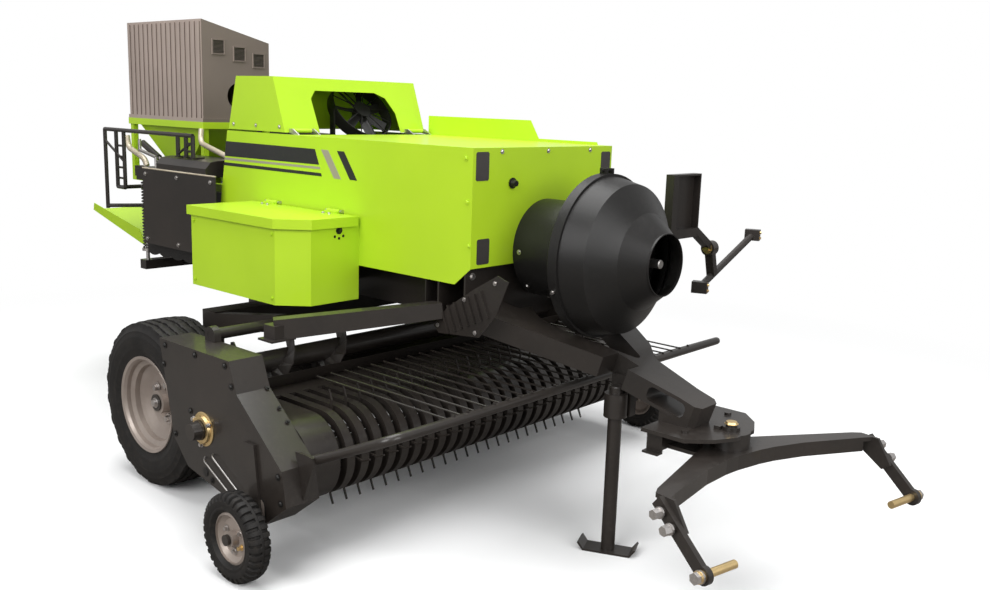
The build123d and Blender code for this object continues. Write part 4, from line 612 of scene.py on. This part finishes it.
def film_plate(name, outline, normal_axis, face, thick, slot="black_plastic", body="chassis", material=None):
    """A thin plate on a face across Y (outline of x, z) or across X (outline of y, z)."""
    count = len(outline)
    points = []
    for depth in (face, face + thick):
        points += [at(u, depth, w) if normal_axis == "Y" else at(depth, u, w) for u, w in outline]
    area = sum(outline[i][0] * outline[(i + 1) % count][1] - outline[(i + 1) % count][0] * outline[i][1]
               for i in range(count))
    near = tuple(range(count))
    far = tuple(range(2 * count - 1, count - 1, -1))
    walls = [(i, i + count, (i + 1) % count + count, (i + 1) % count) for i in range(count)]
    faces = [near, far] + walls
    outwards = (area > 0) == (thick > 0)
    if (normal_axis == "X") == outwards:
        faces = [tuple(reversed(f)) for f in faces]
    return settle(name, drawn(name, points, faces), body, slot, material)


SIDE_FACE, FILM = 0.440, 0.0008
stripes = [
    ("band", [(-0.296, 1.489), (0.386, 1.487), (0.414, 1.421), (-0.3075, 1.418)], stripe_black),
    ("line_silver", [(-0.309, 1.411), (0.4185, 1.412), (0.4225, 1.402), (-0.3105, 1.400)], stripe_silver),
    ("line_black", [(-0.3125, 1.388), (0.428, 1.386), (0.433, 1.372), (-0.315, 1.373)], stripe_black),
    ("bar_silver", [(0.428, 1.487), (0.476, 1.487), (0.563, 1.369), (0.515, 1.369)], stripe_silver),
    ("bar_black", [(0.535, 1.487), (0.582, 1.487), (0.667, 1.371), (0.620, 1.371)], stripe_black),
]
for name, outline, material in stripes:
    for side_name, sign, out in SIDES:
        film_plate("stripe_%s_%s" % (side_name, name), outline, "Y", sign * SIDE_FACE, sign * FILM,
                   material=material)
print("stripes:", 2 * len(stripes))

# %% [markdown]
# Small plain plates sit at the corners of the front panel, and a rubber latch holds it. Their edges and
# their slightly different gloss set the plates off from the sheet.

# %% Bare plates and the panel latch
for i, (y0, y1, z0, z1) in enumerate([(-0.424, -0.352, 1.417, 1.525), (-0.408, -0.338, 1.098, 1.196),
                                       (0.362, 0.428, 1.437, 1.516)]):
    cut = 0.006
    corner = [(y0 + cut, z0), (y1 - cut, z0), (y1, z0 + cut), (y1, z1 - cut), (y1 - cut, z1), (y0 + cut, z1),
              (y0, z1 - cut), (y0, z0 + cut)]
    film_plate("bare_plate_%d" % (i + 1), corner, "X", 1.326, 0.0012, material=plain_plate)
bolts("panel_latch", "chassis", "black_plastic", [(at(1.331, -0.217, 1.403), FRONT)], 0.017, 0.02, sides=8,
      taper=0.7, washer=1.25)
panel_screws = [(1.289, 1.501), (1.300, 1.338), (1.313, 1.173)]
for side_name, sign, out in SIDES:
    bolts("panel_screws_" + side_name, "chassis", "green_paint",
          [(at(x, sign * (SIDE_FACE + 0.0015), z), out) for x, z in panel_screws], 0.0075, 0.005, sides=14,
          taper=0.7)
bolts("front_panel_screws", "chassis", "bright_zinc",
      [(at(1.3275, y, 1.525), FRONT) for y in (-0.28, 0.0, 0.28)], 0.0065, 0.004, sides=14, taper=0.7)
print("plates, latch and panel screws")

# %% [markdown]
# Each twine box is closed by a dark latch on its front face, above three rivets. Bolts hold the lids' hinges;
# they are small, but the eye finds them on a clean green sheet. The hood has three screws along its lower
# edge on the right, the side that lifts.

# %% Latches, hinge bolts and hood screws
LATCH_Y = 0.546
for side_name, sign, out in SIDES:
    box_front, lid_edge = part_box("twine_boxes")[1].x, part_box("twine_lid_" + side_name)[0].z
    bolts("box_latch_" + side_name, "chassis", "black_plastic",
          [(Vector((box_front, sign * LATCH_Y, lid_edge - 0.013)), FRONT)], 0.011, 0.012, sides=10, taper=0.75)
    bolts("box_latch_rivets_" + side_name, "chassis", "black_plastic",
          [(Vector((box_front, sign * LATCH_Y + shift, lid_edge - drop)), FRONT)
           for shift, drop in ((-0.022, 0.038), (0.0, 0.046), (0.022, 0.038))], 0.0042, 0.002, sides=10)
    hinge_rows = [(at(x, sign * 0.494, 1.2268), UP) for x in (0.07, 0.11, 0.51, 0.55)]
    bolts("lid_hinge_bolts_" + side_name, "lid_" + side_name, "bright_zinc", hinge_rows, 0.006, 0.005)
    bolts("box_bolts_" + side_name, "chassis", "green_paint",
          [(at(x, sign * 0.7915, z), out) for x in (-0.02, 0.555) for z in (0.90, 1.16)], 0.006, 0.004,
          sides=12)
bolts("hood_screws", "hood", "bright_zinc", [(at(x, -0.4335, 1.572), RIGHT) for x in (-0.24, -0.06, 0.12)],
      0.006, 0.004, sides=12, taper=0.7)
print("latches and hinge bolts")

# %% [markdown]
# The pickup's side housings are folded sheet with a row of dark screws along the edges, and the drive
# bearing in a gold-passivated flange, held by three nuts round a dark hub. The flange is turned about the
# bearing's axis, as the real pressing is, and rides on the pickup. Low at the front a dark plate paints the
# shade in a slot's opening round the pale casting of the gauge wheel's arm; a plug closes the hole beside the
# two rods.

# %% Pickup housings: screws and bearing flange
outer_screws = [(0.385, 0.733), (0.600, 0.735), (0.800, 0.733), (0.840, 0.662), (0.372, 0.655), (0.445, 0.385),
                (1.120, 0.395), (1.135, 0.300), (1.000, 0.205), (0.700, 0.262), (0.560, 0.505)]
front_screws = [(0.879, 0.642), (0.952, 0.582), (1.002, 0.541)]
HOUSING_Y, BEARING = 1.175, (0.650, 0.455)
flange = [(0.0, 0.040), (0.0, 0.066), (0.003, 0.067), (0.005, 0.063), (0.006, 0.056), (0.017, 0.053),
          (0.018, 0.049), (0.018, 0.040)]
slot_shape = [(1.001, 0.205), (1.010, 0.203), (1.032, 0.205), (1.044, 0.222), (1.043, 0.262), (1.034, 0.281),
              (1.018, 0.288), (1.004, 0.284), (0.998, 0.262), (0.997, 0.222)]
casting = [(1.0205 + (x - 1.0205) * 0.74, 0.2455 + (z - 0.2455) * 0.84) for x, z in slot_shape]
for side_name, sign, out in SIDES:
    bolts("housing_screws_" + side_name, "pickup", "black_plastic",
          [(at(x, sign * (HOUSING_Y + 0.002), z), out) for x, z in outer_screws], 0.0085, 0.006, sides=12,
          taper=0.7, washer=1.55)
    bolts("housing_front_screws_" + side_name, "pickup", "black_plastic",
          [(at(x, sign * 1.045, z), (0.634, 0, 0.773)) for x, z in front_screws], 0.006, 0.005, sides=12,
          taper=0.7)
    ring = [(sign * y, radius, "flange") for y, radius in flange][::-sign]
    pressing = turned_piece("bearing_flange_" + side_name, "pickup", "gold_zinc",
                            at(BEARING[0], sign * HOUSING_Y, BEARING[1]), ring, 40)
    bolts("bearing_nuts_" + side_name, "pickup", "bright_zinc",
          circle_places(BEARING, sign * (HOUSING_Y + 0.011), 0.060, 3, out, 0.5), 0.0085, 0.010, washer=1.25)
    bolts("bearing_hub_" + side_name, "pickup", "dark_paint",
          [(at(BEARING[0], sign * (HOUSING_Y + 0.024), BEARING[1]), out)], 0.037, 0.036, sides=24, taper=0.86,
          washer=1.05)
    # Painted shade: a dark plate stands for the shaded opening of the slot round the casting.
    film_plate("slot_rim_" + side_name, slot_shape, "Y", sign * (HOUSING_Y + 0.0002), sign * 0.0016,
               body="pickup")
    film_plate("slot_casting_" + side_name, casting, "Y", sign * (HOUSING_Y + 0.0018), sign * 0.0012,
               "rim_grey", "pickup")
    bolts("inspection_plug_" + side_name, "pickup", "black_plastic",
          [(at(0.657, sign * (HOUSING_Y + 0.0005), 0.284), out)], 0.016, 0.003, sides=24, taper=0.9, washer=1.2)
print("bearing flange:", len(pressing.data.polygons), "faces")

# %% [markdown]
# Bent rod and tube turn up in several places: two thin rods on the housings, the cream pipes behind the
# hood. A bezier spline through a few corners, given a round section and turned into a mesh, is the shortest
# way to a bend that looks bent and not broken.

# %% Bent rods and pipes


def bent_bar(name, corners, radius, bend, slot, body="chassis", material=None):
    """A round bar through the corners, each rounded with straight runs between."""
    points = [Vector(corner) for corner in corners]
    data = bpy.data.curves.new(name, "CURVE")
    data.dimensions = "3D"
    data.bevel_depth = radius
    data.bevel_resolution = 3
    data.use_fill_caps = True
    data.resolution_u = 8
    stops = [(points[0], None)]
    for before, corner, after in zip(points, points[1:], points[2:]):
        back, forward = (before - corner), (after - corner)
        reach = min(bend, back.length * 0.45, forward.length * 0.45)
        stops.append((corner + back.normalized() * reach, corner))
        stops.append((corner + forward.normalized() * reach, corner))
    stops.append((points[-1], None))
    spline = data.splines.new("BEZIER")
    spline.bezier_points.add(len(stops) - 1)
    for i, (bezier, (spot, corner)) in enumerate(zip(spline.bezier_points, stops)):
        bezier.co = spot
        previous = stops[i - 1][0] if i else spot
        following = stops[i + 1][0] if i + 1 < len(stops) else spot
        rounds_left, rounds_right = corner is not None and i % 2 == 0, corner is not None and i % 2
        bezier.handle_left = spot.lerp(corner, 0.55) if rounds_left else spot.lerp(previous, 0.33)
        bezier.handle_right = spot.lerp(corner, 0.55) if rounds_right else spot.lerp(following, 0.33)
    mesh = kept(name, bpy.data.objects.new(name + "_curve", data))
    mesh.materials.clear()
    mesh.shade_smooth()
    return settle(name, mesh, body, slot, material)


rods = [((0.655, 0.345), (0.669, 0.336), (0.830, 0.257)), ((0.712, 0.372), (0.725, 0.367), (0.895, 0.277))]
for side_name, sign, out in SIDES:
    for i, corners in enumerate(rods):
        bent_bar("housing_rod_%s_%d" % (side_name, i + 1),
                 [at(x, sign * y, z) for (x, z), y in zip(corners, (1.176, 1.190, 1.190))], 0.0035, 0.01,
                 "bright_steel", "pickup")
print("rods on the housings")

# %% [markdown]
# Each guard rod is held in the windguard pipe by a small bolt, whose painted heads run along the pipe in a
# row. The drawbar, its clamp and the hitch plates are bolted too, with larger heads.

# %% Bolts of windguard, drawbar and hitch
BAND_STEP, PIVOT_X, SWING = 0.07, 2.225, radians(-11.5)
bolts("windguard_bolts", "windguard", "dark_paint",
      [(at(1.575, i * BAND_STEP, 0.6385), UP) for i in range(-11, 12)], 0.0055, 0.005, sides=8, washer=1.3)
bolts("pivot_bolt_head", "chassis", "gold_zinc", [(at(PIVOT_X, 0, 0.598), UP)], 0.024, 0.008, sides=20,
      taper=0.8, washer=1.05)
bolts("clamp_bolts", "chassis", "bright_zinc",
      [(at(x, -0.046, z), RIGHT) for x in (1.765, 1.827) for z in (0.660, 0.688)], 0.008, 0.008)
bolts("frame_bolts", "chassis", "bright_zinc",
      [(at(1.301, y, z), FRONT) for y in (-0.40, 0.40) for z in (0.95, 1.05)], 0.010, 0.008)
turn_yoke = Matrix.Rotation(SWING, 3, "Z")


def on_yoke(x, y, z):
    """A place on the hitch yoke, measured from its pivot bolt."""
    swung = turn_yoke @ Vector((x, y, z))
    return at(PIVOT_X + swung.x, swung.y, swung.z)


start, end = Vector((0.192, 0.0, 0.502)), Vector((0.398, 0.0, 0.332))
for side_name, sign, out in SIDES:
    outwards = tuple(turn_yoke @ Vector(out))
    on_link = [start.lerp(end, share) for share in (0.16, 0.38)]
    bolts("link_nuts_" + side_name, "yoke", "bright_zinc",
          [(on_yoke(spot.x, sign * 0.590, spot.z), outwards) for spot in on_link], 0.0175, 0.030, taper=0.96,
          washer=1.12)
    bolts("eye_nut_" + side_name, "yoke", "bright_zinc", [(on_yoke(end.x, sign * 0.584, end.z), outwards)],
          0.0205, 0.026, taper=0.96, washer=1.08)
print("hitch bolts")

# %% [markdown]
# Behind the hood, two springs press the bale. The construction draws each as a stack of rings, which is
# right from afar; here each is the real thing, one wire wound up a rod between two seats. A spiral with a
# round section follows that rule in three nodes.

# %% Tension springs
coil, given, result = geometry_tree("coil", [
    ("Turns", NUMBER), ("Coil Radius", NUMBER), ("Length", NUMBER), ("Wire Radius", NUMBER), ("Foot", VECTOR),
    ("Material", MATERIAL)])
spiral = add(coil, "GeometryNodeCurveSpiral", Resolution=20, Rotations=given["Turns"],
             Start_Radius=given["Coil Radius"], End_Radius=given["Coil Radius"], Height=given["Length"])
wire = add(coil, "GeometryNodeCurvePrimitiveCircle", Resolution=8, Radius=given["Wire Radius"])
wound = add(coil, "GeometryNodeCurveToMesh", Curve=spiral.outputs[0], Profile_Curve=wire.outputs[0],
            Fill_Caps=True)
placed = add(coil, "GeometryNodeTransform", Geometry=wound.outputs[0], Translation=given["Foot"])
put_out(coil, placed.outputs[0], given, result)
SPRING_X, SPRING_Y, SEAT_STEPS = -1.110, 0.416, 28
seat = [(0.860, 0.0105), (0.860, 0.029), (0.874, 0.029), (0.874, 0.0105)]
for side_name, sign, out in SIDES:
    spring = grow("tension_coil_" + side_name, "chassis", "dark_paint", coil, bpy.data.meshes.new("none"),
                  Turns=22.0, Coil_Radius=0.0215, Length=0.365, Wire_Radius=0.0037,
                  Foot=at(SPRING_X, sign * SPRING_Y, 0.874))
    bent_bar("tension_rod_" + side_name, [at(SPRING_X, sign * SPRING_Y, z) for z in (0.812, 1.245)], 0.010, 0.0,
             "bright_zinc")
    points, faces = [], []
    for i in range(SEAT_STEPS):
        angle, row = 2 * pi * i / SEAT_STEPS, i * len(seat)
        following = (i + 1) % SEAT_STEPS * len(seat)
        for j, (z, radius) in enumerate(seat):
            k = (j + 1) % len(seat)
            points.append(at(SPRING_X + radius * cos(angle), sign * SPRING_Y + radius * sin(angle), z))
            faces.append((row + j, row + k, following + k, following + j))
    name = "tension_seat_" + side_name
    settle(name, drawn(name, points, faces), "chassis", "bright_zinc")
    if sign < 0:
        first = spring
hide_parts("tension_springs")
print("coils:", len(spring.data.polygons), "faces each")

# %% [markdown]
# Two pipes lead from under the dust bin, one bent down behind the railing and one along the panel; a dark
# gas strut steadies the bin, and a pale strip of edging closes the rim of each rear shield. A folded bracket
# carries each spring's rod, and a strip of scalloped rubber hangs below the shield.

# %% Pipes, strut and edging at the rear
bent_bar("drain_pipe_rear",
         [at(x, -0.30, z) for x, z in ((-1.512, 1.462), (-1.499, 1.397), (-1.325, 1.342), (-1.30, 1.304))],
         0.016, 0.05, "bright_zinc", material=cream_pipe)
bent_bar("drain_pipe_front", [at(-0.854, -0.228, 1.523), at(-0.837, -0.245, 1.452), at(-0.40, -0.300, 1.375)],
         0.014, 0.06, "bright_zinc", material=cream_pipe)
strut = [at(-1.401, -0.265, 1.425), at(-1.230, -0.265, 1.352), at(-1.150, -0.265, 1.318)]
bent_bar("bin_strut_barrel", strut[:2], 0.019, 0.0, "dark_paint")
bent_bar("bin_strut_rod", strut[1:], 0.009, 0.0, "bright_zinc")
bracket = [(-1.180, 1.262), (-0.985, 1.262), (-0.985, 1.318), (-1.180, 1.318)]
scallop = [(-1.046 + i * 0.0116, 0.868 - 0.014 * abs(sin(i * pi / 10))) for i in range(41)]
for side_name, sign, out in SIDES:
    bent_bar("shield_edging_" + side_name, [at(x, sign * 0.4985, 1.3195) for x in (-0.984, -0.302)], 0.0042,
             0.0, "bright_zinc", material=cream_pipe)
    bolts("rear_shield_screws_" + side_name, "chassis", "bright_zinc",
          [(at(x, sign * 0.5015, z), out) for x in (-0.955, -0.65, -0.345) for z in (0.950, 1.290)], 0.0075,
          0.006, sides=10)
    film_plate("spring_bracket_" + side_name, bracket, "Y", sign * 0.395, sign * 0.042, "dark_paint")
    film_plate("scalloped_edge_" + side_name, scallop + [(-0.582, 0.932), (-1.046, 0.932)], "Y", sign * 0.446,
               sign * 0.004)
print("rear pipes, brackets and edging")

# %% [markdown]
# Slats and louvres are one rule: the same small bar again and again, a step apart. The tree takes the bar's
# size, the first place, the step, the count and a lean, since all of them are set at a slant.

# %% Rows of bars
rows, given, result = geometry_tree("row_of_bars", [
    ("Size", VECTOR), ("Start", VECTOR), ("Step", VECTOR), ("Count", WHOLE), ("Lean", "NodeSocketRotation"),
    ("Material", MATERIAL)])
bar = add(rows, "GeometryNodeMeshCube", Size=given["Size"])
line = add(rows, "GeometryNodeMeshLine", {"mode": "OFFSET"}, Count=given["Count"],
           Start_Location=given["Start"], Offset=given["Step"])
set_out = add(rows, "GeometryNodeInstanceOnPoints", Points=line.outputs[0], Instance=bar.outputs["Mesh"],
              Rotation=given["Lean"])
put_out(rows, set_out.outputs[0], given, result)


def bars(name, body, slot, size, start, step, count, lean, **more):
    """A row of equal bars."""
    return grow(name, body, slot, rows, bpy.data.meshes.new("none"), Size=size, Start=start, Step=step,
                Count=count, Lean=lean, **more)


BIN_HALF, BIN_TOP, BIN_FALL, VENT_SIDE, VENT_DROP = 0.21, 2.092, 0.100, 0.080, 0.064
for i, y in enumerate((-0.72 * BIN_HALF, -0.1 * BIN_HALF, 0.48 * BIN_HALF)):
    vent_top = BIN_TOP - BIN_FALL * (y + VENT_SIDE + BIN_HALF) / (2 * BIN_HALF) - VENT_DROP
    bars("vent_%d_slats" % (i + 1), "chassis", "bin_grey", (0.002, 0.066, 0.003),
         at(-0.8585, y + VENT_SIDE / 2, vent_top - 0.010), (0, 0, -0.0065), 10, (0.0, 0.5, 0.0),
         Material=vent_mesh)
print("vent slats")

# %% [markdown]
# A stripper band is no flat strip: its edges are folded in towards the reel, so that each is a shallow
# channel and stays stiff between the tines. From the front the folds close the view into the reel. One
# channel's two folds are drawn as side walls that follow the band, and a tree sets them out along the width.

# %% Folded edges of the stripper bands
REEL = (0.950, 0.370)
BAND_OUT, FOLD, FOLD_T, BAND_HALF = 0.161, 0.028, 0.003, 0.019
repeat, given, result = geometry_tree("set_out_in_a_row", [
    ("Start", VECTOR), ("Step", VECTOR), ("Count", WHOLE), ("Material", MATERIAL)])
line = add(repeat, "GeometryNodeMeshLine", {"mode": "OFFSET"}, Count=given["Count"],
           Start_Location=given["Start"], Offset=given["Step"])
set_out = add(repeat, "GeometryNodeInstanceOnPoints", Points=line.outputs[0], Instance=given["Geometry"])
put_out(repeat, set_out.outputs[0], given, result)
directions = [(-0.270, -pi / 2), (-0.135, -pi / 2)] + [(0.0, -pi / 2 + pi * i / 24) for i in range(25)]
directions += [(-0.135, pi / 2), (-0.270, pi / 2)]
points, faces = [], []
for edge in (-BAND_HALF, BAND_HALF - FOLD_T):
    first = len(points)
    for back, angle in directions:
        for radius, y in ((BAND_OUT, edge), (BAND_OUT, edge + FOLD_T), (BAND_OUT - FOLD, edge + FOLD_T),
                          (BAND_OUT - FOLD, edge)):
            points.append((back + radius * cos(angle), y, radius * sin(angle)))
    last = len(directions) - 1
    for i in range(last):
        for j in range(4):
            a, b = first + i * 4 + j, first + i * 4 + (j + 1) % 4
            faces.append((a, b, b + 4, a + 4))
    faces.append((first + 3, first + 2, first + 1, first))
    faces.append(tuple(first + last * 4 + j for j in range(4)))
folds = grow("band_folds", "pickup", "dark_paint", repeat, drawn("one_channel", points, faces),
             Start=at(REEL[0], -12 * BAND_STEP, REEL[1]), Step=(0.0, BAND_STEP, 0.0), Count=25)
print("folded edges:", len(folds.data.polygons), "faces")

# %% [markdown]
# Under the corner of the right panel hangs a dark guard plate with slanted louvres, bolted to the end of the
# cross frame. It is one sheet: an outline in the side plane, with the louvres standing out from it.

# %% Louvred guard
guard = [(1.137, 0.838), (1.166, 0.811), (1.380, 0.830), (1.463, 0.925), (1.521, 1.062), (1.466, 1.080),
         (1.353, 1.015), (1.207, 0.918)]
film_plate("louvred_guard", guard, "Y", -0.4375, -0.004, "dark_paint")
bars("guard_louvres", "chassis", "dark_paint", (0.006, 0.014, 0.105), at(1.205, -0.446, 0.868),
     (0.034, 0, 0.016), 7, (0.0, -0.42, 0.0))
bolts("guard_bolts", "chassis", "bright_zinc",
      [(at(x, -0.443, z), RIGHT) for x, z in ((1.160, 0.842), (1.300, 0.965), (1.455, 1.050), (1.36, 0.845))],
      0.006, 0.005)
print("louvred guard")

# %% [markdown]
# The flywheel shield is moulded in two halves. A clamping band joins them, held by two catches, and zinc
# screws hold its neck. All of them stand on circles round the shaft, pointing away from it.

# %% Catches of the flywheel shield
SHAFT_Z = 1.134


def round_shaft(x, radius, degrees):
    """Places on a circle round the shaft's line, pointing outwards."""
    turns = [(cos(radians(angle)), sin(radians(angle))) for angle in degrees]
    return [(at(x, radius * c, SHAFT_Z + radius * s), (0, c, s)) for c, s in turns]


bolts("shield_catches", "chassis", "bright_zinc", round_shaft(1.617, 0.322, (200, 330)), 0.007, 0.008,
      washer=1.2)
bolts("shield_neck_screws", "chassis", "bright_zinc", round_shaft(1.36, 0.200, (180, 225, 270, 315, 0)), 0.007,
      0.005, sides=12, taper=0.7)
print("shield catches")

# %% [markdown]
# The stand at the left front is made to be set by hand: a cross bolt lets its arm swing, and a clamp block
# with two plated screws sits at each end of the bar.

# %% Bolts of the hose stand
stand = at(1.56, 0.44, 1.0)
bolts("stand_pivot_bolt", "chassis", "gold_zinc", [(stand + Vector((0.030, 0.417, 0.085)), RIGHT)], 0.017,
      0.012)
clamp_screws = [stand + Vector((0.0735, y, z + shift)) for y, z in ((0.370, -0.086), (0.838, 0.118))
                for shift in (-0.014, 0.012)]
bolts("stand_clamp_screws", "chassis", "gold_zinc", [(spot, (0.94, 0.342, 0)) for spot in clamp_screws],
      0.006, 0.006)
print("bolts of the hose stand")

# %% Count the added pieces and their faces
bpy.context.view_layer.update()
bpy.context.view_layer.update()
added = [o for o in bpy.data.objects if o.type == "MESH" and o is not floor and o.name not in nodes]
print("added pieces:", len(added), "faces:", sum(len(o.data.polygons) for o in added))
